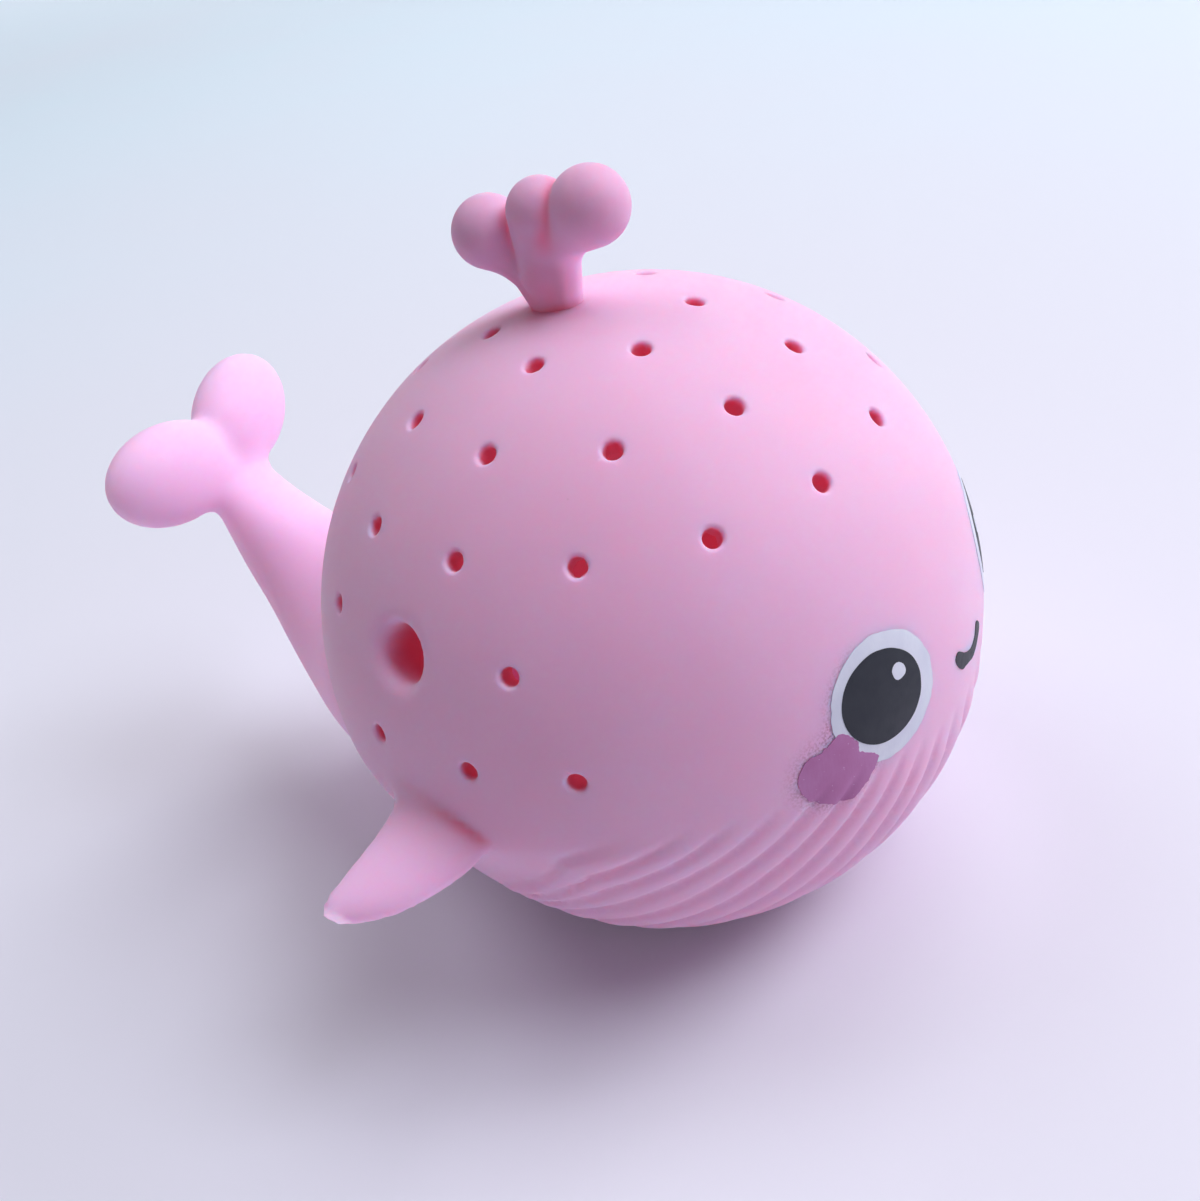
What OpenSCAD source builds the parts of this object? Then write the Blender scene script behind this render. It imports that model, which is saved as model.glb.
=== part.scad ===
// Squeaky bath toy: a soft-vinyl whale with a ball body, spray holes, an upturned tail,
// two flippers, a three-ball spout, painted eyes, cheeks and mouth, and a reed squeaker in the belly.
// Frame: +X to the nose, +Y to the whale's left, +Z up. The origin is the centre of the belly's flat.
// Directions on the ball are given as an azimuth from the nose towards the whale's right,
// and a latitude above the ball's middle, in degrees.

/* [Body] */
// Outer radius of the ball
ball_r = 36; // [31:0.5:44]
// Thickness of the cast vinyl wall
wall = 3; // [2.4:0.1:3.6]
// Radius of the flat under the belly
rest_r = 14; // [12.5:0.5:16]

/* [Spray holes] */
// Diameter of a small spray hole
hole_d = 1.9; // [1:0.1:2.6]
// Diameter of the filling port in each flank
port_d = 6.1; // [4:0.1:8]
// Turn of the crown rings from the middle of the face, in degrees
ring_turn = 5; // [-15:1:15]

/* [Throat pleats] */
// Radius of the round groove between two pleats
pleat_r = 0.9; // [0.6:0.1:1.2]
// Depth of the groove below the ball
pleat_depth = 0.45; // [0.2:0.05:0.5]

/* [Tail] */
// Thickness of the tail's wall
tail_wall = 2.2; // [1.6:0.1:3]
// Half length of a fluke lobe, across the whale
fluke_a = 8.8; // [7:0.1:10]
// Half height of a fluke lobe
fluke_b = 6.2; // [5:0.1:8]
// Half thickness of a fluke lobe
fluke_c = 4.7; // [3:0.1:5.5]
// Radius of the tail's hollow spigot in the body
spigot_r = 7; // [5:0.5:8]

/* [Flippers] */
// Reach of a flipper from the ball's middle plane
fin_reach = 47.2; // [45:0.2:52]
// Half length of the flipper's root, along the whale
fin_chord = 5.7; // [4:0.1:7]
// Half thickness of the flipper at its root
fin_thick = 2.6; // [1.6:0.1:3.2]
// Radius of the round peg that plugs into the body
fin_peg_r = 2; // [1.2:0.1:2.4]

/* [Spout] */
// Radius of the front water drop
drop_front_r = 3.9; // [3:0.1:4.6]
// Radius of the middle water drop
drop_mid_r = 3.2; // [2.4:0.1:4]
// Radius of the rear water drop
drop_rear_r = 3.7; // [3:0.1:4.4]
// Radius of the spout's stem
stem_r = 2.2; // [1.6:0.1:2.8]

/* [Squeaker] */
// Radius of the squeaker cup's barrel
cup_r = 7.5; // [6.5:0.1:8.5]
// Height of the squeaker from its flange to its lid
cup_h = 13; // [12:0.1:15]
// Wall of the squeaker cup and its lid
cup_wall = 1; // [0.8:0.1:1.3]
// Width of the reed
reed_w = 3; // [2.2:0.1:3.4]
// Thickness of the reed
reed_t = 0.15; // [0.1:0.01:0.25]
// Gap between the resting reed and its bed
reed_gap = 0.3; // [0.2:0.02:0.4]

/* [Paint] */
// Thickness of one coat of paint
paint_t = 0.15; // [0.1:0.01:0.2]
// Half width of the eye's white
white_a = 6.05; // [5:0.05:7]
// Half height of the eye's white
white_b = 7.13; // [6:0.05:8]
// Long half size of the pupil
pupil_a = 5.17; // [4:0.05:5.4]
// Short half size of the pupil
pupil_b = 4.67; // [3.6:0.05:4.9]
// Long half size of the cheek patch
cheek_a = 5; // [4:0.05:5.6]
// Short half size of the cheek patch
cheek_b = 3.4; // [2.8:0.05:4]
// Half width of the smile
smile_a = 3.1; // [2.4:0.05:4]

/* [Hidden] */
$fn = 96;
RIGHT = 1;
LEFT = -1;
// Overrun of every cut past the face that it opens
over = 1;
// Clearance round a plug pressed into the soft wall
seat_gap = 0.02;
// Lip that holds a plug behind the wall
plug_lip = 0.7;
plug_lip_h = 1.2;

// Height of the ball's centre above the flat that it rests on
ball_z = sqrt(ball_r * ball_r - rest_r * rest_r);
cavity_r = ball_r - wall;
// Height of a plug's lip where its rim just clears the hollow's round wall
function lip_top(plug_r) = sqrt(pow(cavity_r, 2) - pow(plug_r + plug_lip, 2)) - seat_gap;

// Crown rings: latitude and number of holes
rings = [[73.5, 6], [57, 10], [40.6, 14]];
// Flank holes: azimuth and latitude
flank_holes = [[82.2, 25], [126.4, 25], [73.3, 8.7], [91.1, 8.7], [110.9, 8.7]];
port_at = [102.3, 25];

// The pleats run as great circles from the forehead's pole to the tail's, half the count on each side
pleat_pole = 30;
pleat_angles = [0, 10, 19, 27.5, 35.5, 42.5, 49, 56, 62.5, 67.5, 72.5, 78];
pleat_widest = 78;
pleat_first = 38;
pleat_sweep = 40;
pleat_last = 93;
function pleat_start(turn) = pleat_first + pleat_sweep * pow(turn / pleat_widest, 4);

// Tail sections in the middle plane, from the root to the neck, as shares of the ball's radius:
// front point x and z, rear point x and z, and half width
tail_shares = [
    [-0.639, 0.250, -0.611, -0.753, 0.628],
    [-0.750, 0.194, -0.750, -0.769, 0.561],
    [-0.869, 0.106, -0.931, -0.753, 0.500],
    [-1.000, 0.050, -1.142, -0.642, 0.417],
    [-1.103, 0.025, -1.314, -0.494, 0.325],
    [-1.172, 0.044, -1.433, -0.350, 0.258],
    [-1.233, 0.078, -1.519, -0.192, 0.208],
    [-1.319, 0.144, -1.603, -0.025, 0.167],
    [-1.444, 0.233, -1.650, 0.175, 0.136],
    [-1.550, 0.331, -1.675, 0.331, 0.128],
];
tail_sides = 28;
// Sections whose hollow is cast, counted from the root
tail_hollow = 7;
// Middle of a fluke lobe, and in degrees the lean of its height, the rise and the rearward sweep
// of its length, and the slight twist of both lobes on the neck
fluke_x = -1.667 * ball_r;
fluke_y = 0.189 * ball_r;
fluke_z = 0.411 * ball_r;
fluke_lean = 12.8;
fluke_splay = 11.9;
fluke_sweep = 9.5;
fluke_twist = 4.2;
fluke_sides = 20;
fluke_steps = 12;
// Angle from a lobe's tip to its first slice
fluke_end = 3;
spigot_lat = -20;
spigot_bore_r = spigot_r - tail_wall;

// Flipper sections: share of the reach from the root, share of the sweep, of the chord and of the thickness
fin_root_y = 0.90 * ball_r;
fin_root_x = -0.165 * ball_r;
fin_sweep = 0.20 * ball_r;
fin_root_z = -0.085 * ball_r;
fin_fall = 0.105 * ball_r;
fin_pitch = 9;
fin_shares = [
    [0, 0, 1.00, 1.00],
    [0.12, 0.03, 0.97, 0.97],
    [0.28, 0.11, 0.93, 0.92],
    [0.46, 0.24, 0.85, 0.84],
    [0.62, 0.42, 0.76, 0.75],
    [0.76, 0.62, 0.63, 0.66],
    [0.87, 0.80, 0.48, 0.55],
    [0.95, 0.93, 0.31, 0.40],
    [1.00, 1.00, 0.08, 0.12],
];
fin_sides = 24;
fin_peg_az = 99.5;
fin_peg_lat = -5;

// Spout: the middles of the three drops and the foot of their necks, measured from the ball's centre
drop_front = [0.062 * ball_r, 0, 1.273 * ball_r];
drop_mid = [-0.089 * ball_r, 0, 1.264 * ball_r];
drop_rear = [-0.271 * ball_r, 0, 1.200 * ball_r];
spout_lat = 83.8;
spout_foot = (cavity_r + wall / 2) * [-cos(spout_lat), 0, sin(spout_lat)];
foot_spread = [0.2 * stem_r, 0, 0];
neck_r = 0.66 * stem_r;
neck_top = 0.9;
foot_ring_r = stem_r + 0.3 * wall;
foot_ring_h = 0.15 * wall;

// Squeaker: heights are measured from the flat that the toy rests on
flange_r = cup_r + 2 * cup_wall;
flange_h = cup_wall;
flange_recess = wall / 6;
flange_top = flange_recess + flange_h;
barb = 0.7 * cup_wall;
barb_h = 2 * barb;
cup_top = flange_recess + cup_h;
cup_floor = flange_top + cup_wall / 2;
boss_h = 1.2 * cup_wall;
lid_low = cup_top - cup_wall;
lid_rim = 1.6 * cup_wall;
lid_seat_r = cup_r - cup_wall / 2;
lid_gap = 0.02;
inlet_d = 1.5;
inlet_ring = 0.6 * cup_r;
inlets = 6;

// Reed bed: a round post with a flat face, and under the clamp a land that the reed's root lies on
bed_seat_r = 0.46 * cup_r;
bed_r = bed_seat_r - seat_gap;
bed_bore_r = 0.35 * bed_seat_r;
bed_face = bed_seat_r / 2;
bed_top = lid_low - cup_wall / 2;
bed_face_z = cup_floor + 2 * boss_h;
clamp_gap = 0.12;
land_face = bed_face + reed_gap - clamp_gap;
clamp_h = 0.5 * bed_seat_r;
clamp_wall = 0.9 * cup_wall;
clamp_top = bed_top - seat_gap - cup_wall / 4;
clamp_low = clamp_top - clamp_h;
land_low = clamp_low - reed_gap;
reed_x = bed_face + reed_gap;
reed_low = bed_face_z + reed_gap;
reed_top = clamp_top;
slot_w = 0.6 * reed_w;
slot_low = reed_low + reed_gap;
slot_top = land_low - reed_gap;

// Eyes, cheeks and mouth: azimuth and latitude of the middle, and the turn of the long axis
white_at = [23.6, 7.5];
white_turn = 31;
pupil_at = [24.2, 7.9];
pupil_turn = -37;
glint_at = [20.6, 11.2];
glint_a = 0.16 * pupil_b;
glint_b = 0.25 * pupil_b;
glint_turn = 20;
cheek_at = [34.3, -0.6];
cheek_turn = -43;
smile_at = [1.2, 1.4];
smile_sag = 0.86 * smile_a;
smile_w = 0.17 * smile_a;
smile_tip_w = 0.08 * smile_a;
outline_sides = 40;

// Turns +Z to a direction on the ball, on the right or left side of the whale
module toward(azimuth, latitude, side = RIGHT) {
    rotate([0, 0, -side * azimuth]) rotate([0, 90 - latitude, 0]) children();
}

// A closed skin through a list of rings with equal numbers of points, with a flat fan at each end
module loft(loops) {
    sides = len(loops[0]);
    last = len(loops) - 1;
    points = [for (loop = loops) each loop];
    walls = [for (i = [0:last - 1], j = [0:sides - 1])
        let (a = i * sides + j, b = i * sides + (j + 1) % sides)
        each [[a, b, b + sides], [a, b + sides, a + sides]]];
    caps = [for (j = [1:sides - 2])
        each [[0, j + 1, j], [last * sides, last * sides + j, last * sides + j + 1]]];
    polyhedron(points = points, faces = [for (f = concat(walls, caps)) [f[0], f[2], f[1]]]);
}

// Points of a closed ring: middle, two half axes as vectors
function ring(middle, across, along, sides) =
    [for (j = [0:sides - 1]) middle + across * cos(j * 360 / sides) + along * sin(j * 360 / sides)];

// A round seat through the wall for a plug
module plug_hole(radius, azimuth, latitude, side = RIGHT) {
    toward(azimuth, latitude, side)
        translate([0, 0, cavity_r - wall]) cylinder(r = radius, h = 2 * wall + over);
}

// A small hole drilled square to the ball
module spray_hole(azimuth, latitude, side = RIGHT) {
    toward(azimuth, latitude, side)
        translate([0, 0, cavity_r - wall]) cylinder(d = hole_d, h = 2 * wall + over);
}

// One groove of the throat, from its start to the rear edge of the pleated pad
module pleat_groove(turn) {
    from = pleat_start(abs(turn));
    rotate([0, -pleat_pole, 0]) rotate([turn, 0, 0]) rotate([90, 0, 0]) rotate([0, 0, -pleat_last])
        rotate_extrude(angle = pleat_last - from)
            translate([ball_r + pleat_r - pleat_depth, 0]) circle(r = pleat_r, $fn = 24);
}

module body_shell() {
    color("pink") translate([0, 0, ball_z]) difference() {
        sphere(r = ball_r);
        // Hollow of the casting, level over the belly
        difference() {
            sphere(r = cavity_r);
            translate([-ball_r, -ball_r, -ball_r - ball_z + wall]) cube([2 * ball_r, 2 * ball_r, ball_r]);
        }
        // Flat that the toy rests on
        translate([-ball_r, -ball_r, -ball_r - ball_z]) cube([2 * ball_r, 2 * ball_r, ball_r]);
        // Seat of the squeaker
        translate([0, 0, -ball_z - over]) {
            cylinder(r = cup_r + seat_gap, h = wall + 2 * over);
            cylinder(r = flange_r + seat_gap, h = over + flange_top);
        }
        // Crown rings
        for (r = rings, k = [0:r[1] - 1])
            spray_hole(ring_turn + (k + 1 / 2) * 360 / r[1], r[0]);
        // Flanks
        for (side = [RIGHT, LEFT]) {
            for (h = flank_holes) spray_hole(h[0], h[1], side);
            toward(port_at[0], port_at[1], side)
                translate([0, 0, cavity_r - wall]) cylinder(d = port_d, h = 2 * wall + over);
            plug_hole(fin_peg_r + seat_gap, fin_peg_az, fin_peg_lat, side);
        }
        plug_hole(spigot_r + seat_gap, 180, spigot_lat);
        plug_hole(stem_r + seat_gap, 180, spout_lat);
        // Throat pleats
        for (turn = pleat_angles) {
            pleat_groove(turn);
            if (turn > 0) pleat_groove(-turn);
        }
    }
}

// Tail section number i, drawn in by an inset
function tail_ring(i, inset) =
    let (s = tail_shares[i] * ball_r,
         front = [s[0], 0, s[1]], rear = [s[2], 0, s[3]],
         middle = (front + rear) / 2, reach = (rear - front) / 2,
         keep = (norm(reach) - inset) / norm(reach))
    ring(middle, reach * keep, [0, inset - s[4], 0], tail_sides);

// One lobe of the flukes as a stack of ellipses along its length
module fluke(side) {
    slices = [for (k = [0:fluke_steps])
        let (t = fluke_end + k * (180 - 2 * fluke_end) / fluke_steps)
        ring([0, fluke_a * cos(t), 0], [fluke_c * sin(t), 0, 0], [0, 0, fluke_b * sin(t)], fluke_sides)];
    translate([0, 0, fluke_z]) rotate([fluke_twist, 0, 0]) translate([fluke_x, -side * fluke_y, 0])
        rotate([0, 0, -side * fluke_sweep]) rotate([0, -fluke_lean, 0]) rotate([-side * fluke_splay, 0, 0])
            loft(slices);
}

module tail() {
    color("pink") translate([0, 0, ball_z]) {
        difference() {
            union() {
                loft([for (i = [0:len(tail_shares) - 1]) tail_ring(i, 0)]);
                fluke(RIGHT);
                fluke(LEFT);
            }
            sphere(r = ball_r);
            difference() {
                loft([for (i = [0:tail_hollow]) tail_ring(i, tail_wall)]);
                sphere(r = ball_r + tail_wall);
            }
            toward(180, spigot_lat) cylinder(r = spigot_bore_r, h = ball_r + tail_wall + over);
        }
        // Spigot with a lip behind the body's wall
        toward(180, spigot_lat) difference() {
            union() {
                translate([0, 0, lip_top(spigot_r) - plug_lip_h])
                    cylinder(r = spigot_r, h = ball_r + tail_wall / 2 - lip_top(spigot_r) + plug_lip_h);
                translate([0, 0, lip_top(spigot_r) - plug_lip_h])
                    cylinder(r = spigot_r + plug_lip, h = plug_lip_h);
            }
            cylinder(r = spigot_bore_r, h = 2 * ball_r);
        }
    }
}

// Flipper section number i
function fin_ring(i, side) =
    let (s = fin_shares[i],
         middle = [fin_root_x - fin_sweep * s[1], -side * (fin_root_y + (fin_reach - fin_root_y) * s[0]),
                   fin_root_z - fin_fall * s[0]],
         chord = fin_chord * s[2], thick = fin_thick * s[3])
    ring(middle, [chord * cos(fin_pitch), 0, -chord * sin(fin_pitch)],
         [side * thick * sin(fin_pitch), 0, side * thick * cos(fin_pitch)], fin_sides);

module fin(side) {
    color("pink") translate([0, 0, ball_z]) {
        difference() {
            loft([for (i = [0:len(fin_shares) - 1]) fin_ring(i, side)]);
            sphere(r = ball_r);
        }
        toward(fin_peg_az, fin_peg_lat, side) {
            translate([0, 0, lip_top(fin_peg_r) - plug_lip_h])
                cylinder(r = fin_peg_r, h = ball_r + wall / 3 - lip_top(fin_peg_r) + plug_lip_h);
            translate([0, 0, lip_top(fin_peg_r) - plug_lip_h])
                cylinder(r = fin_peg_r + plug_lip, h = plug_lip_h);
        }
    }
}

module fin_right() fin(RIGHT);

module fin_left() fin(LEFT);

// A straight taper between two points
module taper(from, to, r_from, r_to) {
    v = to - from;
    translate(from) rotate([0, acos(v[2] / norm(v)), atan2(v[1], v[0])])
        cylinder(r1 = r_from, r2 = r_to, h = norm(v));
}

module spout() {
    color("pink") translate([0, 0, ball_z]) {
        difference() {
            union() {
                taper(spout_foot, drop_front, neck_r, neck_top * neck_r);
                taper(spout_foot, drop_mid, stem_r, neck_top * drop_mid_r);
                taper(spout_foot - foot_spread, drop_rear, neck_r, neck_top * neck_r);
                toward(180, spout_lat) cylinder(r = foot_ring_r, h = ball_r + foot_ring_h);
                translate(drop_front) sphere(r = drop_front_r);
                translate(drop_mid) sphere(r = drop_mid_r);
                translate(drop_rear) sphere(r = drop_rear_r);
            }
            sphere(r = ball_r);
        }
        toward(180, spout_lat) {
            translate([0, 0, lip_top(stem_r) - plug_lip_h])
                cylinder(r = stem_r, h = ball_r + foot_ring_h - lip_top(stem_r) + plug_lip_h);
            translate([0, 0, lip_top(stem_r) - plug_lip_h])
                cylinder(r = stem_r + plug_lip, h = plug_lip_h);
        }
    }
}

// Cup pressed into the belly: flange, barrel with a barb above the wall, and a boss that seats the reed bed
module squeaker_cup() {
    color("white") difference() {
        rotate_extrude() polygon([
            [0, flange_recess], [flange_r, flange_recess], [flange_r, flange_top], [cup_r, flange_top],
            [cup_r, wall + seat_gap], [cup_r + barb, wall + seat_gap], [cup_r, wall + seat_gap + barb_h],
            [cup_r, lid_low - lid_rim], [lid_seat_r, lid_low - lid_rim],
            [lid_seat_r, lid_low], [cup_r - cup_wall, lid_low], [cup_r - cup_wall, cup_floor],
            [bed_seat_r + cup_wall, cup_floor], [bed_seat_r + cup_wall, cup_floor + boss_h],
            [bed_seat_r, cup_floor + boss_h], [bed_seat_r, cup_floor], [0, cup_floor]]);
        translate([0, 0, flange_recess - over]) cylinder(r = bed_bore_r, h = cup_floor + 2 * over);
    }
}

// Lid snapped on the cup, with the inlets that take air from the toy's hollow
module squeaker_lid() {
    color("white") difference() {
        rotate_extrude() polygon([
            [0, lid_low + lid_gap], [lid_seat_r + lid_gap, lid_low + lid_gap],
            [lid_seat_r + lid_gap, lid_low - lid_rim + lid_gap], [cup_r, lid_low - lid_rim + lid_gap],
            [cup_r, cup_top], [0, cup_top]]);
        for (k = [0:inlets - 1]) rotate([0, 0, k * 360 / inlets])
            translate([inlet_ring, 0, lid_low - over]) cylinder(d = inlet_d, h = cup_wall + 2 * over);
    }
}

// Post with a slot in its flat face: the reed beats on the slot, and the bore leads the air out
module reed_bed() {
    color("gold") difference() {
        translate([0, 0, cup_floor]) cylinder(r = bed_r, h = bed_top - cup_floor);
        translate([bed_face, -bed_r - over, bed_face_z])
            cube([bed_r, 2 * (bed_r + over), land_low - bed_face_z]);
        translate([land_face, -bed_r - over, bed_face_z])
            cube([bed_r, 2 * (bed_r + over), bed_top - bed_face_z + over]);
        translate([0, 0, cup_floor - over]) cylinder(r = bed_bore_r, h = slot_top - cup_floor + over);
        translate([0, -slot_w / 2, slot_low]) cube([bed_face + over, slot_w, slot_top - slot_low]);
    }
}

// Collar round the post's top, with a groove that holds the reed's root on the land
module reed_clamp() {
    color("gold") translate([0, 0, clamp_low]) difference() {
        cylinder(r = bed_r + clamp_wall, h = clamp_h);
        translate([0, 0, -over]) difference() {
            cylinder(r = bed_seat_r, h = clamp_h + 2 * over);
            translate([land_face + seat_gap, -bed_r - over, -over])
                cube([bed_r, 2 * (bed_r + over), clamp_h + 4 * over]);
        }
        translate([land_face, -reed_w / 2 - clamp_gap, -over])
            cube([reed_t + 2 * clamp_gap, reed_w + 2 * clamp_gap, clamp_h + 2 * over]);
    }
}

// Springy tongue that hangs from the clamp in front of the slot
module squeaker_reed() {
    color("silver") translate([reed_x, -reed_w / 2, reed_low])
        cube([reed_t, reed_w, reed_top - reed_low]);
}

// A film of paint on the ball between two depths of coats, inside an outline that stands square to the ball
module paint_film(at, side, low, high) {
    translate([0, 0, ball_z]) intersection() {
        difference() {
            sphere(r = ball_r + high * paint_t);
            sphere(r = ball_r + low * paint_t);
        }
        toward(at[0], at[1], side) rotate([0, 0, 90])
            linear_extrude(height = ball_r + 2 * over) mirror([side == RIGHT ? 0 : 1, 0]) children();
    }
}

// Outline of an oval with its long side turned from the horizontal
module oval(a, b, turn) {
    rotate([0, 0, turn])
        polygon([for (k = [0:outline_sides - 1])
            [a * cos(k * 360 / outline_sides), b * sin(k * 360 / outline_sides)]]);
}

module eye_white(side) {
    color("white") paint_film(white_at, side, 0, 1) oval(white_a, white_b, white_turn);
}

module eye_white_right() eye_white(RIGHT);

module eye_white_left() eye_white(LEFT);

module pupil(side) {
    color("dimgray") paint_film(pupil_at, side, 1, 2) oval(pupil_a, pupil_b, pupil_turn);
}

module pupil_right() pupil(RIGHT);

module pupil_left() pupil(LEFT);

module eye_glint(side) {
    color("white") paint_film(glint_at, side, 2, 3) oval(glint_a, glint_b, glint_turn);
}

module eye_glint_right() eye_glint(RIGHT);

module eye_glint_left() eye_glint(LEFT);

// The cheek patch is sprayed over the lower edge of the eye's white
module cheek(side) {
    color("orchid") difference() {
        paint_film(cheek_at, side, 0, 2) oval(cheek_a, cheek_b, cheek_turn);
        paint_film(white_at, side, -1, 1) oval(white_a, white_b, white_turn);
        paint_film(pupil_at, side, -1, 3) oval(pupil_a, pupil_b, pupil_turn);
    }
}

module cheek_right() cheek(RIGHT);

module cheek_left() cheek(LEFT);

// A smile: a band along a parabola with rounded ends
module mouth() {
    steps = 16;
    function on_smile(t) = [smile_a * t, smile_sag * (t * t - 1 / 2)];
    function slant(t) = let (v = [1, 2 * t * smile_sag / smile_a]) v / norm(v);
    function band(t) = (smile_tip_w + (smile_w - smile_tip_w) * (1 - t * t));
    function edge(t, way) = let (d = slant(t)) on_smile(t) + way * band(t) * [-d[1], d[0]];
    upper = [for (k = [0:steps]) edge(2 * k / steps - 1, 1)];
    lower = [for (k = [steps:-1:0]) edge(2 * k / steps - 1, -1)];
    color("dimgray") paint_film(smile_at, RIGHT, 0, 1) polygon(concat(upper, lower));
}

body_shell();
tail();
fin_right();
fin_left();
spout();
squeaker_cup();
squeaker_lid();
reed_bed();
reed_clamp();
squeaker_reed();
eye_white_right();
eye_white_left();
pupil_right();
pupil_left();
eye_glint_right();
eye_glint_left();
cheek_right();
cheek_left();
mouth();
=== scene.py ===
"""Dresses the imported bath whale: one soft vinyl skin with punched holes and pleats, a spout, a painted face,
materials, a plain floor, soft light and the camera.

Shapes are worked out in millimetres from the ball's centre and set into the frame in metres.
"""

import math

import bmesh
import bpy
import numpy as np
from mathutils import Matrix, Vector
from mathutils.geometry import delaunay_2d_cdt


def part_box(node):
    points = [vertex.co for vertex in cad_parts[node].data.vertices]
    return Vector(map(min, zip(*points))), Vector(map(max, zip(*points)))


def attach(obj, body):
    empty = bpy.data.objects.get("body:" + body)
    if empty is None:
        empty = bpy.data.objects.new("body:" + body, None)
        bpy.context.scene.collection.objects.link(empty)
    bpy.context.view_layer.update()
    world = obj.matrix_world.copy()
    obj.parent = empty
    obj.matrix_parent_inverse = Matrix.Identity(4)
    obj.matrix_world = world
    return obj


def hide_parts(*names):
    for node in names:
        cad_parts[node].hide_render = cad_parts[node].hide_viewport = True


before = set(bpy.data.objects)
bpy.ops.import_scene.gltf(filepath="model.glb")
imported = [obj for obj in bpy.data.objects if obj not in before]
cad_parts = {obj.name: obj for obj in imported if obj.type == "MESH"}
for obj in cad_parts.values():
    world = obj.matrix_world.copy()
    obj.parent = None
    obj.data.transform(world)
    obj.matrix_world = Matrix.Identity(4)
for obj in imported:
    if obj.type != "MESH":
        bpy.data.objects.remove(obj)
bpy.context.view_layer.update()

# Sizes in millimetres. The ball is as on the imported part.
MM = 0.001
shell_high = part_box("body_shell")[1]
BALL_R = 36.0
WALL = 3.0
BALL_Z = shell_high.z / MM - BALL_R
# A distance that stands for far away
FAR = 50.0

# Holes: rings as latitude and count, flank holes as azimuth and latitude. The ports are narrower and further
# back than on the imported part, as in the photo.
HOLE_R = 0.95
PORT_R = 2.9
RING_TURN = 5.0
RINGS = ((73.5, 6), (57.0, 10), (40.6, 14))
FLANK_HOLES = ((82.2, 25.0), (126.4, 25.0), (73.3, 8.7), (91.1, 8.7), (110.9, 8.7))
PORT_AT = (105.4, 24.1)
# Rounding of the rims
HOLE_RIM = 0.45
PORT_RIM = 2.0
# Neck of each flank port in the hollow: depth from the skin, wall and share of the painted red shade and glow
NECK_LONG = 7.5
NECK_WALL = 1.6
NECK_PAINTED_RED = 0.2
# How far the lower flanks are drawn in, and between which slopes this sets in
FLANK_DRAW = 1.5
FLANK_SLOPES = (0.05, 0.35)
# Seat of the squeaker's flange and barrel in the belly
SEAT_R = 9.55
SEAT_DEPTH = 1.5
BARREL_R = 7.55
BARREL_DEPTH = 2 * WALL

# How widely the forms run into each other
BLEND_TAIL = 2.6
BLEND_FLUKES = 2.2
BLEND_LOBES = 1.2
BLEND_FLAT = 0.6
BLEND_NECK = 0.8
BLEND_WALL = 0.3
# The flippers' blend widens towards the rear, between these distances behind the ball's middle
BLEND_FIN = 0.9
FIN_WIDENS = 1.6
FIN_BEHIND = (2.0, 9.0)

# Throat pleats: where each groove lies round the pole, and where it starts and ends from the pole, in degrees
PLEAT_POLE = 30.0
PLEATS = (0.0, 10.0, 19.0, 27.0, 34.5, 41.5, 48.0, 54.5, 61.0, 66.5, 71.5, 78.0)
PLEAT_FIRST = 38.0
PLEAT_SWEEP = 37.0
PLEAT_LAST = 93.0
# The rearmost pleats bend in below this place, by a degree for this many
PLEAT_BEND = 85.0
PLEAT_SLANT = 1.76
# Each pleat stands proud of the ball, and its grooves dip from there
PLEAT_PROUD = 0.42
PLEAT_DIP = 0.62
# Rounding of a groove: where it starts in the pleat's half width, how gently, and the width that it leaves
GROOVE_FROM = 0.7
GROOVE_EASE = 0.6
GROOVE_LEFT = 0.85
# Fading, in degrees: past the last groove, round the start (before and after it), and before the end
PLEAT_RUNOUT = 2.0
PLEAT_RISE = (-1.0, 9.0)
PLEAT_FADE = 8.0
# The end moves on by this for each degree round
PLEAT_FALL = 0.3

# Tail sections: front point x and z, rear point x and z, half width
TAIL_RINGS = np.array([
    (-23.0, 9.0, -22.0, -27.1, 22.6),
    (-27.0, 7.0, -27.0, -27.7, 20.2),
    (-31.3, 3.8, -33.5, -27.1, 18.0),
    (-36.0, 1.8, -41.1, -23.1, 15.0),
    (-39.7, 0.9, -47.3, -17.8, 11.7),
    (-42.2, 1.6, -51.6, -12.6, 9.3),
    (-44.4, 2.8, -54.7, -6.9, 7.5),
    (-47.5, 5.2, -57.7, -0.9, 6.0),
    (-52.0, 8.4, -59.4, 6.3, 4.9),
    (-55.8, 11.9, -60.3, 11.9, 4.6),
])
TAIL_ROWS = 72
TAIL_WALL = 2.2
# The tail and its flukes lie behind this place
TAIL_BEFORE = -14.0
# Flukes: middle of each lobe, half sizes, and turns in degrees
FLUKE_AT = (-59.93, 6.8, 14.8)
FLUKE_SIZE = (4.7, 8.8, 6.2)
FLUKE_LEAN = 12.8
FLUKE_SPLAY = 11.9
FLUKE_SWEEP = 9.5
FLUKE_TWIST = 4.2

# Flipper sections: distance from the middle plane, middle x and z, half chord, half thickness
FIN_RINGS = np.array([
    (30.0, -6.0, -2.4, 6.0, 2.9),
    (33.0, -6.0, -2.8, 5.8, 2.8),
    (36.0, -6.3, -3.4, 5.5, 2.6),
    (39.0, -7.2, -4.3, 5.0, 2.3),
    (42.0, -8.8, -5.2, 4.3, 1.9),
    (44.0, -10.1, -5.8, 3.6, 1.6),
    (45.5, -11.4, -6.2, 2.7, 1.3),
    (46.5, -12.4, -6.5, 1.7, 0.9),
    (47.0, -12.9, -6.65, 0.8, 0.5),
])
FIN_ROWS = 60
FIN_PITCH = 9.0
# The flippers' whitish tips, which also carry a painted glow, start here and are full after the fade
NUB_FROM = 46.5
NUB_FADE = 0.3

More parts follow.
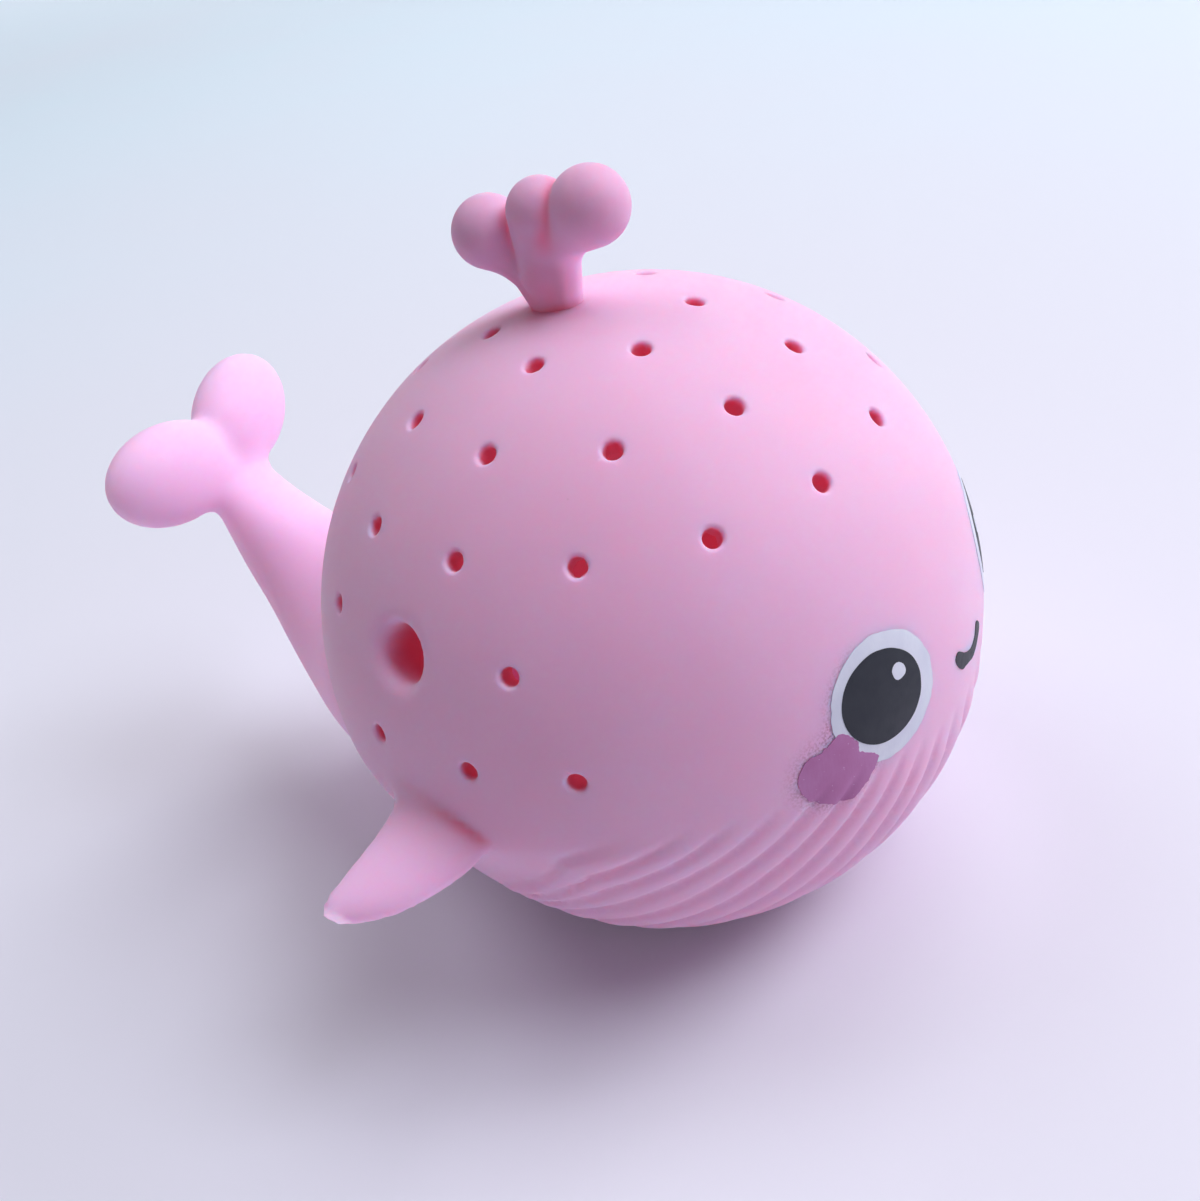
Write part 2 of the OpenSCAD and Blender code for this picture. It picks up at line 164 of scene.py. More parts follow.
# Spout: front, middle and rear drop, each as the drop, its neck and the fillet between them. Drops and necks
# are tapers between two balls, given by their middles and radii.
DROPS = (
    (((2.23, 0, 45.82), (-1.5, 0.1, 43.2), 3.9, 2.5),
     ((-1.8, 0, 43.0), (-2.75, 0, 33.5), 2.0, 1.55), 1.5),
    (((-3.2, -0.25, 45.5), (-4.2, -0.2, 39.6), 3.25, 2.3),
     ((-4.1, -0.2, 39.6), (-3.7, 0, 33.5), 2.2, 1.7), 1.2),
    (((-9.76, 0, 43.2), (-7.6, 0, 40.6), 3.68, 1.9),
     ((-7.6, 0, 40.6), (-3.9, 0, 33.5), 1.3, 1.5), 1.4),
)
# How widely the rear drop runs into the middle one, and the front drop into both
BLEND_REAR = 0.7
BLEND_FRONT = 0.55
SPOUT_SUNK = 35.6

# Paint: place of each patch (azimuth and latitude), and outlines as distances to the whale's right and up
WHITE_AT = (23.85, 7.1)
WHITE_OVAL = (6.4, 6.8, -33.8)
PUPIL_AT = (24.4, 7.6)
PUPIL_OVAL = (5.17, 4.67, 37.1)
GLINT_AT = (20.85, 10.7)
GLINT_KNOTS = ((-0.3, 0.45), (-0.78, -0.02), (-0.94, -0.58), (-0.8, -1.0), (-0.35, -1.18),
               (0.22, -1.18), (0.58, -0.9), (0.74, -0.42), (0.74, 0.1), (0.3, 0.5))
CHEEK_AT = (34.3, -0.6)
CHEEK_KNOTS = ((-0.95, 4.0), (0.0, 4.15), (0.9, 3.65), (2.1, 3.25), (3.2, 3.15), (4.0, 2.45), (4.4, 1.4),
               (4.3, 0.1), (3.8, -1.15), (2.75, -2.25), (1.35, -3.1), (0.0, -3.75), (-1.3, -3.55),
               (-2.3, -3.05), (-3.25, -2.4), (-4.05, -1.4), (-4.5, -0.75), (-4.1, -0.25), (-2.6, 0.95),
               (-2.3, 1.2), (-2.3, 2.0), (-1.75, 2.95))
MOUTH_AT = (1.2, 1.4)
MOUTH_KNOTS = ((-3.95, 0.15), (-3.4, 0.35), (-3.0, -0.05), (-2.6, -0.65), (-1.9, -1.0), (-1.1, -1.12),
               (-0.1, -0.8), (0.9, -0.2), (1.65, 0.45), (2.3, 0.93), (2.8, 0.9), (3.1, 0.55),
               (3.05, 0.0), (2.65, -0.75), (1.75, -1.7), (0.85, -1.95), (-0.3, -2.3), (-1.6, -2.62),
               (-2.55, -2.42), (-3.2, -2.1), (-3.9, -1.65), (-4.45, -1.15), (-4.55, -0.6))
# Raggedness of the painted edges: size, grain and seed
EDGE_WHITE = (0.045, 4, 11)
EDGE_PUPIL = (0.02, 9, 12)
EDGE_CHEEK = (0.05, 2.2, 14)
EDGE_MOUTH = (0.015, 5, 15)
# How deep each film reaches into the skin, and how far it stands off it
FILM_SUNK = 0.05
LIFT_WHITE = 0.06
LIFT_CHEEK = 0.085
LIFT_PUPIL = 0.1
LIFT_GLINT = 0.14

# Colours, as linear light
VINYL_PALE = (0.94, 0.57, 0.84)
VINYL_ROSY = (0.92, 0.52, 0.78)
# Paler where painted light comes through thin parts
VINYL_LIT_THROUGH = (1.0, 0.60, 0.92)
VINYL_SPOUT = ((0.82, 0.48, 0.73), (0.79, 0.44, 0.68))
VINYL_NUB = (1.0, 0.78, 0.98)
# Painted red shade in holes and recesses
VINYL_PAINTED_RECESS = (0.85, 0.20, 0.32)
# Painted red light and shade in folds and creases
VINYL_PAINTED_CREASE = (0.95, 0.20, 0.38)
# Painted glow: in the hollow, through thin parts, and at the flippers' tips
HOLLOW_PAINTED_GLOW = (0.10, 0.022, 0.040)
THROUGH_PAINTED_GLOW = (0.13, 0.055, 0.085)
NUB_PAINTED_GLOW = (0.36, 0.20, 0.36)
OVERSPRAY = (0.56, 0.17, 0.34)
SPECK = (0.45, 0.12, 0.25)
GLITTER = (0.72, 0.48, 0.70)
WHITE_PAINT = ((0.82, 0.82, 0.95), (0.72, 0.72, 0.88))
DARK_PAINT = ((0.024, 0.026, 0.040), (0.031, 0.033, 0.047))
CHEEK_PAINT = ((0.55, 0.22, 0.48), (0.50, 0.17, 0.40))
PLASTIC = ((0.84, 0.84, 0.80), (0.90, 0.90, 0.88))
BRASS = ((0.72, 0.53, 0.24), (0.83, 0.66, 0.36))
BLACK = (0.0, 0.0, 0.0)

# Where painted red light and shade pool: width and share of the folds, of the seam round the spout's foot and
# of its creases
FOLD_WIDTH = 0.38
FOLD_SHARE = 0.7
SEAM_WIDTH = 0.35
SEAM_SHARE = 0.55
CREASE_WIDTH = 0.7
CREASE_SHARE = 0.6
# The painted light and shade in a fold is wider by this on the limb, ends this far from the surfaces, and
# fades in upwards and forwards
FOLD_WIDER = 2.2
FOLD_END = 2
FOLD_ABOVE = (-4.2, -2.4)
FOLD_AHEAD = (-8.5, -2.5)
SEAM_ABOVE = 30
# The painted seam and foot shade grows across the spout from its far side to its near side
NEAR_SIDE = (-1.0, 1.5)
# Heights over the ball between which the drops' painted crease shade sets in, and the foot's and the stem's
# painted shade fade
CREASE_FROM = (5.0, 8.0)
FOOT_FADE = (0.1, 1.1)
FOOT_SHARE = 0.8
STEM_FADE = (1.0, 6.5)
STEM_SHARE = 0.5
# Painted light through the stem's side: its fading upwards and the share and fading all round the foot
SIDE_FADE = (4.0, 6.5)
ROUND_SHARE = 0.3
ROUND_FADE = (0.0, 4.5)
# Where the skin's painted red recess shade and painted inner glow set in: depths in it, and heights over the
# floor
PAINTED_RECESS_SPAN = (0.15, 0.9)
PAINTED_GLOW_DEPTHS = (0.3, WALL)
BELLY_SPAN = (1.8 * MM, 2.8 * MM)
# The limbs are thin between these distances from the ball, and painted light comes through them there
THROUGH_LIGHT_SPAN = (1, 7)
# Dust of cheek paint: middle, half sizes, fading and share round the cheek, and the same along the eye's edge
DUST_CHEEK_AT = (0.2, 0.6)
DUST_CHEEK = (5.2, 4.6)
DUST_CHEEK_FADE = (0.75, 1.25)
DUST_CHEEK_SHARE = 0.55
DUST_EYE = (7.0, 6.9)
DUST_EYE_WIDTH = 0.07
DUST_EYE_FADE = (0.5, 4.5)
DUST_EYE_SHARE = 0.5
# The dust stays on this side of the ball
DUST_FACING = 0.8
# The part of a noise's range that a ramp spreads
NOISE_SPAN = (0.3, 0.7)

# Meshes: the boxes that hold the skin and the spout, their grids, and the longest edges in each place
SKIN_BOX = ((-71, -50, -35.8), (39, 50, 39))
SPOUT_BOX = ((-15, -5.5, 33), (7.5, 5.5, 51))
GRID = 0.82
SPOUT_GRID = 0.32
FINE_AT_HOLES = 0.3
FINE_AT_PLEATS = 0.76
FINE_REACH = 0.6
LEAST_RELIEF = 0.01
ANY_EDGE = 9.0
# Points that one call of a distance function takes
CHUNK = 60000
# Edges that turn more than this stay crisp, in degrees
SHARP = 50


def direction(azimuth, latitude):
    """Unit vector on the ball, azimuth from the nose towards the whale's right."""
    a, b = math.radians(azimuth), math.radians(latitude)
    return np.array((math.cos(b) * math.cos(a), -math.cos(b) * math.sin(a), math.sin(b)))


def ring_holes():
    """Directions of the crown's spray holes."""
    return [direction(RING_TURN + (k + 0.5) * 360 / count, latitude)
            for latitude, count in RINGS for k in range(count)]


def both_sides(azimuth, latitude):
    """The same place on the right and on the left side."""
    return [direction(azimuth, latitude), direction(-azimuth, latitude)]


def flank_holes(*places):
    """Directions of holes that both flanks have."""
    return [v for at in places for v in both_sides(*at)]


# Each kind of hole: radius, rounding of the rim and directions
HOLES = (
    (HOLE_R, HOLE_RIM, ring_holes() + flank_holes(*FLANK_HOLES)),
    (PORT_R, PORT_RIM, flank_holes(PORT_AT)),
)


def soft_min(a, b, k):
    """The smaller of two distances, rounded over k where they are alike."""
    h = np.clip(0.5 + 0.5 * (b - a) / k, 0, 1)
    return b + (a - b) * h - k * h * (1 - h)


def soft_max(a, b, k):
    """The larger of two distances, rounded over k where they are alike."""
    return -soft_min(-a, -b, k)


def smooth_step(x, low, high):
    """Runs smoothly from 0 at low to 1 at high."""
    t = np.clip((x - low) / (high - low), 0, 1)
    return t * t * (3 - 2 * t)


def ellipsoid(p, half):
    """Distance from an ellipsoid about the origin, good near its surface."""
    half = np.asarray(half, float)
    near = np.sqrt(((p / half) ** 2).sum(1))
    steep = np.sqrt(((p / half**2) ** 2).sum(1)) + 1e-9
    return near * (near - 1) / steep


def curve(rows, count):
    """A smooth curve through rows of numbers, as count rows."""
    t = np.linspace(0, len(rows) - 1, count)
    i = np.minimum(t.astype(int), len(rows) - 2)
    u = (t - i)[:, None]
    padded = np.vstack([2 * rows[0] - rows[1], rows, 2 * rows[-1] - rows[-2]])
    a, b, c, d = (padded[i + k] for k in range(4))
    return 0.5 * (2 * b + (c - a) * u + (2 * a - 5 * b + 4 * c - d) * u**2 + (3 * b - a - 3 * c + d) * u**3)


def pleat_relief(v):
    """How far the pleated throat stands out of the ball, for unit directions v."""
    pole = direction(0, PLEAT_POLE)
    down = direction(0, PLEAT_POLE - 90)
    colat = np.degrees(np.arccos(np.clip(v @ pole, -1, 1)))
    turn = np.abs(np.degrees(np.arctan2(v[:, 1], v @ down)))
    turn = turn + smooth_step(turn, PLEATS[-4], PLEATS[-1]) * np.maximum(colat - PLEAT_BEND, 0) / PLEAT_SLANT
    relief = np.zeros(len(v))
    for low, high in zip(PLEATS[:-1], PLEATS[1:]):
        here = (turn >= low) & (turn < high)
        share = (turn[here] - low) / (high - low)
        off = np.abs(2 * share - 1)
        off = np.where(off > GROOVE_FROM, off - (off - GROOVE_FROM) ** 2 / GROOVE_EASE, off) / GROOVE_LEFT
        relief[here] = PLEAT_PROUD - PLEAT_DIP * off**3
    end = PLEATS[-1]
    past = turn >= end
    relief[past] = (PLEAT_PROUD - PLEAT_DIP) * (1 - smooth_step(turn[past], end, end + PLEAT_RUNOUT))
    start = PLEAT_FIRST + PLEAT_SWEEP * (np.minimum(turn, end) / end) ** 4
    last = PLEAT_LAST + PLEAT_FALL * np.minimum(turn, end)
    risen = smooth_step(colat, start + PLEAT_RISE[0], start + PLEAT_RISE[1])
    return relief * risen * (1 - smooth_step(colat, last - PLEAT_FADE, last))


def ball_radius(v):
    """Radius of the outer skin in unit directions v, before holes and limbs."""
    drawn = FLANK_DRAW * v[:, 1] ** 2 * smooth_step(-v[:, 2], *FLANK_SLOPES)
    return BALL_R + pleat_relief(v) - drawn


TAIL_CURVE = curve(TAIL_RINGS, TAIL_ROWS)


def tail_stock(p):
    """Distance from the tail between its root and its neck."""
    front, rear, width = TAIL_CURVE[:, 0:2], TAIL_CURVE[:, 2:4], TAIL_CURVE[:, 4]
    middle, reach = (front + rear) / 2, (rear - front) / 2
    length = np.hypot(*reach.T)
    along = reach / length[:, None]
    normal = np.column_stack([along[:, 1], -along[:, 0]])
    flat = p[:, [0, 2]]
    ahead = flat @ normal.T - (middle * normal).sum(1)
    passed = np.clip((ahead > 0).sum(1) - 1, 0, len(middle) - 2)
    row = np.arange(len(p))
    here, there = ahead[row, passed], ahead[row, passed + 1]
    t = np.clip(here / np.where(np.abs(here - there) < 1e-6, 1e-6, here - there), 0, 1)[:, None]
    mid = middle[passed] * (1 - t) + middle[passed + 1] * t
    way = along[passed] * (1 - t) + along[passed + 1] * t
    size = np.column_stack([length, width])
    size = size[passed] * (1 - t) + size[passed + 1] * t
    local = np.column_stack([((flat - mid) * way).sum(1), p[:, 1]])
    side = ellipsoid(local, size)
    return np.maximum(side, np.maximum(-ahead[:, 0], ahead[:, -1]))


def fluke(p, side):
    """Distance from one lobe of the flukes, which sit a little twisted on the neck."""
    turn = Matrix.Rotation
    q = (p - np.array((0, 0, FLUKE_AT[2]))) @ np.array(turn(math.radians(FLUKE_TWIST), 3, "X"))
    q = q - np.array((FLUKE_AT[0], side * FLUKE_AT[1], 0))
    lean, splay, sweep = (math.radians(a) for a in (FLUKE_LEAN, FLUKE_SPLAY, FLUKE_SWEEP))
    turned = turn(side * sweep, 3, "Z") @ turn(-lean, 3, "Y") @ turn(side * splay, 3, "X")
    return ellipsoid(q @ np.array(turned), FLUKE_SIZE)


FIN_CURVE = curve(FIN_RINGS, FIN_ROWS)


def fins(p):
    """Distance from the two flippers, which are mirror images."""
    reach = np.abs(p[:, 1])
    x, z, chord, thick = (np.interp(reach, FIN_CURVE[:, 0], FIN_CURVE[:, k]) for k in range(1, 5))
    c, s = math.cos(math.radians(FIN_PITCH)), math.sin(math.radians(FIN_PITCH))
    dx, dz = p[:, 0] - x, p[:, 2] - z
    local = np.column_stack([dx * c - dz * s, dx * s + dz * c])
    side = ellipsoid(local, np.maximum(np.column_stack([chord, thick]), 0.05))
    return np.maximum(side, reach - FIN_CURVE[-1, 0])


def from_axis(p, axis):
    """How far points lie along an axis from the ball's centre, and off it."""
    along = p @ axis
    return along, np.sqrt(np.maximum((p * p).sum(1) - along**2, 0))


def port_necks(p):
    """Distance from the short necks that the flank ports have inside the hollow."""
    gap = np.full(len(p), FAR)
    for axis in flank_holes(PORT_AT):
        along, off = from_axis(p, axis)
        gap = np.minimum(gap, np.maximum(off - PORT_R - NECK_WALL, BALL_R - NECK_LONG - along))
    return gap


def skin(p):
    """Distance from the vinyl skin's surface: negative inside the vinyl."""
    r = np.linalg.norm(p, axis=1) + 1e-9
    v = p / r[:, None]
    outer = r - ball_radius(v)
    hollow = r - (BALL_R - WALL)
    behind = p[:, 0] < TAIL_BEFORE
    stock, lobes = np.full(len(p), FAR), np.full(len(p), FAR)
    stock[behind] = tail_stock(p[behind])
    lobes[behind] = soft_min(fluke(p[behind], 1), fluke(p[behind], -1), BLEND_LOBES)
    outer = soft_min(outer, stock, BLEND_TAIL)
    outer = soft_min(outer, lobes, BLEND_FLUKES)
    outer = soft_min(outer, fins(p), BLEND_FIN + FIN_WIDENS * smooth_step(-p[:, 0], *FIN_BEHIND))
    hollow = soft_min(hollow, stock + TAIL_WALL, BLEND_TAIL)
    height = p[:, 2] + BALL_Z
    outer = soft_max(outer, -height, BLEND_FLAT)
    hollow = soft_max(np.maximum(hollow, WALL - height), -port_necks(p), BLEND_NECK)
    d = soft_max(outer, -hollow, BLEND_WALL)
    near = np.abs(r - BALL_R) < NECK_LONG + 1
    for radius, rim, axes in HOLES:
        cut = np.full(near.sum(), -FAR)
        for axis in axes:
            along, off = from_axis(p[near], axis)
            cut = np.maximum(cut, np.where(along > 0, radius - off, -FAR))
        d[near] = soft_max(d[near], cut, rim)
    off = np.hypot(p[:, 0], p[:, 1])
    seat = np.maximum(off - SEAT_R, height - SEAT_DEPTH)
    barrel = np.maximum(off - BARREL_R, height - BARREL_DEPTH)
    return np.maximum(d, -np.minimum(seat, barrel))


def in_chunks(f, p):
    """f at many points, some at a time."""
    return np.concatenate([f(p[i:i + CHUNK]) for i in range(0, len(p), CHUNK)])


def sample(f, low, high, step):
    """f on a grid; far from the surface a coarse sample stands for its block."""
    block = 4
    margin = 1.3
    count = np.ceil((high - low) / (step * block)).astype(int)
    coarse = np.stack(np.meshgrid(*[np.arange(n + 1) for n in count], indexing="ij"), -1)
    values = in_chunks(f, low + coarse.reshape(-1, 3) * step * block).reshape(coarse.shape[:3])
    fine_shape = count * block + 1
    index = np.stack(np.meshgrid(*[np.arange(n) for n in fine_shape], indexing="ij"), -1).reshape(-1, 3)
    nearest = values[tuple(((index + block // 2) // block).T)]
    field = nearest.copy()
    close = np.abs(nearest) < step * block * margin
    field[close] = in_chunks(f, low + index[close] * step)
    return field.reshape(fine_shape)


def part_corners(field):
    """Removes grid faces whose inside corners only meet along a diagonal, so that no edge has four faces."""
    tiny = -1e-4
    for _ in range(8):
        found = False
        for axis in range(3):
            f = np.moveaxis(field, axis, 2)
            a, b, c, d = f[:-1, :-1], f[1:, :-1], f[1:, 1:], f[:-1, 1:]
            crossed = ((a < 0) == (c < 0)) & ((b < 0) == (d < 0)) & ((a < 0) != (b < 0))
            at = np.argwhere(crossed)
            for i, j, k in at:
                corners = ((i, j, k), (i + 1, j, k), (i + 1, j + 1, k), (i, j + 1, k))
                outside = [c for c in corners if f[c] >= 0]
                f[min(outside, key=lambda c: f[c])] = tiny
            found = found or len(at) > 0
        if not found:
            break
    return field


def surface_net(field, low, step):
    """Vertices and quads of the zero surface, one vertex in each cell that it crosses."""
    inside = field < 0
    shape = np.array(field.shape) - 1
    corners = [np.array((i, j, k)) for i in (0, 1) for j in (0, 1) for k in (0, 1)]
    filled = np.zeros(shape, np.int8)
    for corner in corners:
        filled += inside[tuple(slice(c, c + n) for c, n in zip(corner, shape))]
    active = (filled > 0) & (filled < 8)
    cells = np.argwhere(active)
    index = np.full(shape, -1)
    index[active] = np.arange(len(cells))
    total, met = np.zeros((len(cells), 3)), np.zeros(len(cells))
    for a in corners:
        for b in corners:
            if (b - a).sum() != 1 or (b - a).min() < 0:
                continue
            fa, fb = field[tuple((cells + a).T)], field[tuple((cells + b).T)]
            crossed = (fa < 0) != (fb < 0)
            t = np.where(crossed, fa / np.where(crossed, fa - fb, 1), 0)
            total += crossed[:, None] * (a + t[:, None] * (b - a))
            met += crossed
    points = low + step * (cells + total / met[:, None])
    quads = []
    for axis in range(3):
        u, v = np.eye(3, dtype=int)[(axis + 1) % 3], np.eye(3, dtype=int)[(axis + 2) % 3]
        ahead = np.eye(3, dtype=int)[axis]
        here = inside[tuple(slice(0, n + 1 - a) for n, a in zip(shape, ahead))]
        there = inside[tuple(slice(a, None) for a in ahead)]
        edges = np.argwhere(here != there)
        edges = edges[((edges - u - v) >= 0).all(1) & (edges < shape).all(1)]
        ring = [index[tuple((edges - o).T)] for o in (0 * u, u, u + v, v)]
        quad = np.column_stack(ring)
        flip = ~inside[tuple(edges.T)]
        quad[flip] = quad[flip][:, ::-1]
        quads.append(quad)
    return points, np.concatenate(quads)


def gradient(f, p, h=0.02):
    """Unit gradient and its length, by four samples."""
    ways = np.array(((1, 1, 1), (1, -1, -1), (-1, 1, -1), (-1, -1, 1)), float)
    g = sum(way * in_chunks(f, p + h * way)[:, None] for way in ways) / (4 * h)
    size = np.linalg.norm(g, axis=1) + 1e-9
    return g / size[:, None], size


def settle(f, p, rounds, reach=0.4):
    """Moves points onto the surface."""
    for _ in range(rounds):
        way, steep = gradient(f, p)
        p = p - way * np.clip(in_chunks(f, p) / steep, -reach, reach)[:, None]
    return p


def triangulate(p, quads):
    """Cuts each quad along its shorter diagonal."""
    a, b, c, d = (p[quads[:, k]] for k in range(4))
    short = ((a - c) ** 2).sum(1) <= ((b - d) ** 2).sum(1)
    one = quads[short]
    two = quads[~short]
    return np.vstack([one[:, [0, 1, 2]], one[:, [0, 2, 3]], two[:, [0, 1, 3]], two[:, [1, 2, 3]]])


def relax(f, p, tris, rounds, share=0.5):
    """Evens out the triangles: each vertex moves towards its neighbours' middle, along the surface."""
    ends = np.vstack([tris[:, [0, 1]], tris[:, [1, 2]], tris[:, [2, 0]]])
    for _ in range(rounds):
        total = np.zeros_like(p)
        for k in range(3):
            ahead = np.bincount(ends[:, 0], p[ends[:, 1], k], len(p))
            total[:, k] = ahead + np.bincount(ends[:, 1], p[ends[:, 0], k], len(p))
        count = np.bincount(ends.ravel(), minlength=len(p))
        shift = (total / count[:, None] - p) * share
        way, _ = gradient(f, p)
        p = p + shift - way * (shift * way).sum(1)[:, None]
        p = settle(f, p, 1)
    return p


def refine(p, tris, longest):
    """Halves each edge that is longer than longest(middles) allows."""
    ends = np.sort(np.vstack([tris[:, [0, 1]], tris[:, [1, 2]], tris[:, [2, 0]]]), axis=1)
    edges, which = np.unique(ends, axis=0, return_inverse=True)
    which = which.reshape(3, -1).T
    middle = p[edges].mean(1)
    long = np.linalg.norm(p[edges[:, 0]] - p[edges[:, 1]], axis=1) > longest(middle)
    new = np.full(len(edges), -1)
    new[long] = len(p) + np.arange(long.sum())
    p = np.vstack([p, middle[long]])
    mids = new[which]
    halves = (mids >= 0).sum(1)
    out = [tris[halves == 0]]
    for i in range(3):
        j, k = (i + 1) % 3, (i + 2) % 3
        one = (halves == 1) & (mids[:, i] >= 0)
        t, m = tris[one], mids[one]
        out += [np.column_stack([t[:, i], m[:, i], t[:, k]]), np.column_stack([m[:, i], t[:, j], t[:, k]])]
        two = (halves == 2) & (mids[:, k] < 0)
        t, m = tris[two], mids[two]
        out += [np.column_stack([m[:, i], t[:, j], m[:, j]]),
                np.column_stack([t[:, i], m[:, i], m[:, j]]),
                np.column_stack([t[:, i], m[:, j], t[:, k]])]
    t, m = tris[halves == 3], mids[halves == 3]
    out += [np.column_stack([t[:, 0], m[:, 0], m[:, 2]]), np.column_stack([m[:, 0], t[:, 1], m[:, 1]]),
            np.column_stack([m[:, 2], m[:, 1], t[:, 2]]), m]
    return p, np.vstack(out), long.any()


def any_length(p):
    """No limit on the edges of a mesh."""
    return np.full(len(p), ANY_EDGE)


def fineness(p):
    """Longest edge that the skin's mesh may have at each point."""
    limit = any_length(p)
    r = np.linalg.norm(p, axis=1) + 1e-9
    pleated = (np.abs(pleat_relief(p / r[:, None])) > LEAST_RELIEF) & (r > BALL_R - 1)
    limit[pleated] = FINE_AT_PLEATS
    for radius, _, axes in HOLES:
        for axis in axes:
            off = np.linalg.norm(np.cross(p, axis), axis=1)
            near = (p @ axis > 0) & (np.abs(off - radius) < FINE_REACH) & (np.abs(r - BALL_R) < FINE_REACH)
            limit[near] = FINE_AT_HOLES
    return limit


def make_mesh(name, p, faces):
    """A smooth-shaded Blender object from points in millimetres from the ball's centre."""
    mesh = bpy.data.meshes.new(name)
    world = (p + np.array((0, 0, BALL_Z))) * MM
    mesh.from_pydata(world.tolist(), [], faces.tolist())
    work = bmesh.new()
    work.from_mesh(mesh)
    bmesh.ops.recalc_face_normals(work, faces=work.faces)
    work.to_mesh(mesh)
    work.free()
    mesh.shade_smooth()
    mesh.set_sharp_from_angle(angle=math.radians(SHARP))
    piece = bpy.data.objects.new(name, mesh)
    bpy.context.scene.collection.objects.link(piece)
    return piece


def implicit_piece(name, f, box, step, longest):
    """Meshes the zero surface of f in a box and refines it where its detail needs it."""
    low, high = np.array(box, float)
    field = sample(f, low, high, step)
    p, quads = surface_net(part_corners(field), low, step)
    p = settle(f, p, 4)
    tris = triangulate(p, quads)
    p = relax(f, p, tris, 3)
    for _ in range(3):
        count = len(p)
        p, tris, more = refine(p, tris, longest)
        if not more:
            break
        p[count:] = settle(f, p[count:], 2, 0.2)
    p = relax(f, p, tris, 1, 0.35)
    return make_mesh(name, p, tris)


def round_cone(p, a, b, r_a, r_b):
    """Distance from two balls with the taper between them."""
    a, b = np.array(a, float), np.array(b, float)
    way = b - a
    long2, less = way @ way, r_a - r_b
    slope2 = long2 - less**2
    q = p - a
    y = q @ way
    z = y - long2
    x2 = ((q * long2 - np.outer(y, way)) ** 2).sum(1)
    y2, z2 = y * y * long2, z * z * long2
    k = np.sign(less) * less * less * x2
    side = (np.sqrt(x2 * slope2 / long2) + y * less) / long2 - r_a
    far = np.sqrt(x2 + z2) / long2 - r_b
    near = np.sqrt(x2 + y2) / long2 - r_a
    return np.where(np.sign(z) * slope2 * z2 > k, far, np.where(np.sign(y) * slope2 * y2 < k, near, side))


def spout_drops(p):
    """Distances from the spout's front, middle and rear drop, each with its bent neck."""
    return [soft_min(round_cone(p, *drop), round_cone(p, *neck), fillet) for drop, neck, fillet in DROPS]


def spout(p):
    """Distance from the spout: three drops whose necks run together into one stem."""
    front, middle, rear = spout_drops(p)
    d = soft_min(soft_min(middle, rear, BLEND_REAR), front, BLEND_FRONT)
    return np.maximum(d, SPOUT_SUNK - np.linalg.norm(p, axis=1))


def local_axes(azimuth, latitude):
    """Outward, rightward and upward unit vectors at a place on the ball."""
    out = direction(azimuth, latitude)
    right = direction(azimuth + 90, 0)
    return out, right, np.cross(right, out)


def on_ball(at, flat, lift):
    """Points at flat distances (right, up) from a place on the skin, lifted off it."""
    out, right, up = local_axes(*at)
    height = np.sqrt(BALL_R**2 - (flat**2).sum(1))
    v = np.outer(height, out) + np.outer(flat[:, 0], right) + np.outer(flat[:, 1], up)
    v /= np.linalg.norm(v, axis=1)[:, None]
    return v * (ball_radius(v) + lift)[:, None]


def oval(a, b, turn, count=260):
    """Outline of an oval whose side a is turned from the rightward axis, in degrees."""
    t = np.linspace(0, 2 * np.pi, count, endpoint=False)
    c, s = math.cos(math.radians(turn)), math.sin(math.radians(turn))
    x, y = a * np.cos(t), b * np.sin(t)
    return np.column_stack([x * c - y * s, x * s + y * c])


def closed_outline(knots, spacing):
    """A closed outline through given points, smooth between them, with points at even distances."""
    knots = np.array(knots, float)
    ring = np.vstack([knots[-1:], knots, knots[:2]])
    rows = curve(ring, (len(ring) - 1) * 24 + 1)[24:-24]
    steps = np.append(0, np.cumsum(np.linalg.norm(np.diff(rows, axis=0), axis=1)))
    at = np.linspace(0, steps[-1], int(steps[-1] / spacing), endpoint=False)
    return np.column_stack([np.interp(at, steps, rows[:, k]) for k in (0, 1)])


def ragged(outline, size, grain, seed):
    """The outline with its edge pushed in and out, as brushed paint leaves it."""
    rng = np.random.default_rng(seed)
    n = len(outline)
    push = np.zeros(n)
    for wave in (grain, grain * 2.3, grain * 5.1):
        knots = rng.normal(0, 1, max(int(n / wave), 4))
        at = np.arange(n) * len(knots) / n
        push += np.interp(at, np.arange(len(knots) + 1), np.append(knots, knots[0]))
    ahead = np.roll(outline, -1, 0) - np.roll(outline, 1, 0)
    out = np.column_stack([ahead[:, 1], -ahead[:, 0]])
    return outline + out / np.linalg.norm(out, axis=1)[:, None] * (push * size)[:, None]


def lies_in(outline, points):
    """Which points lie in the outline."""
    a, b = outline, np.roll(outline, -1, 0)
    x, y = points[:, :1], points[:, 1:]
    spans = (a[:, 1] > y) != (b[:, 1] > y)
    rise = np.where(a[:, 1] == b[:, 1], 1e-9, b[:, 1] - a[:, 1])
    cross = a[:, 0] + (y - a[:, 1]) * (b[:, 0] - a[:, 0]) / rise
    return ((x < cross) & spans).sum(1) % 2 == 1


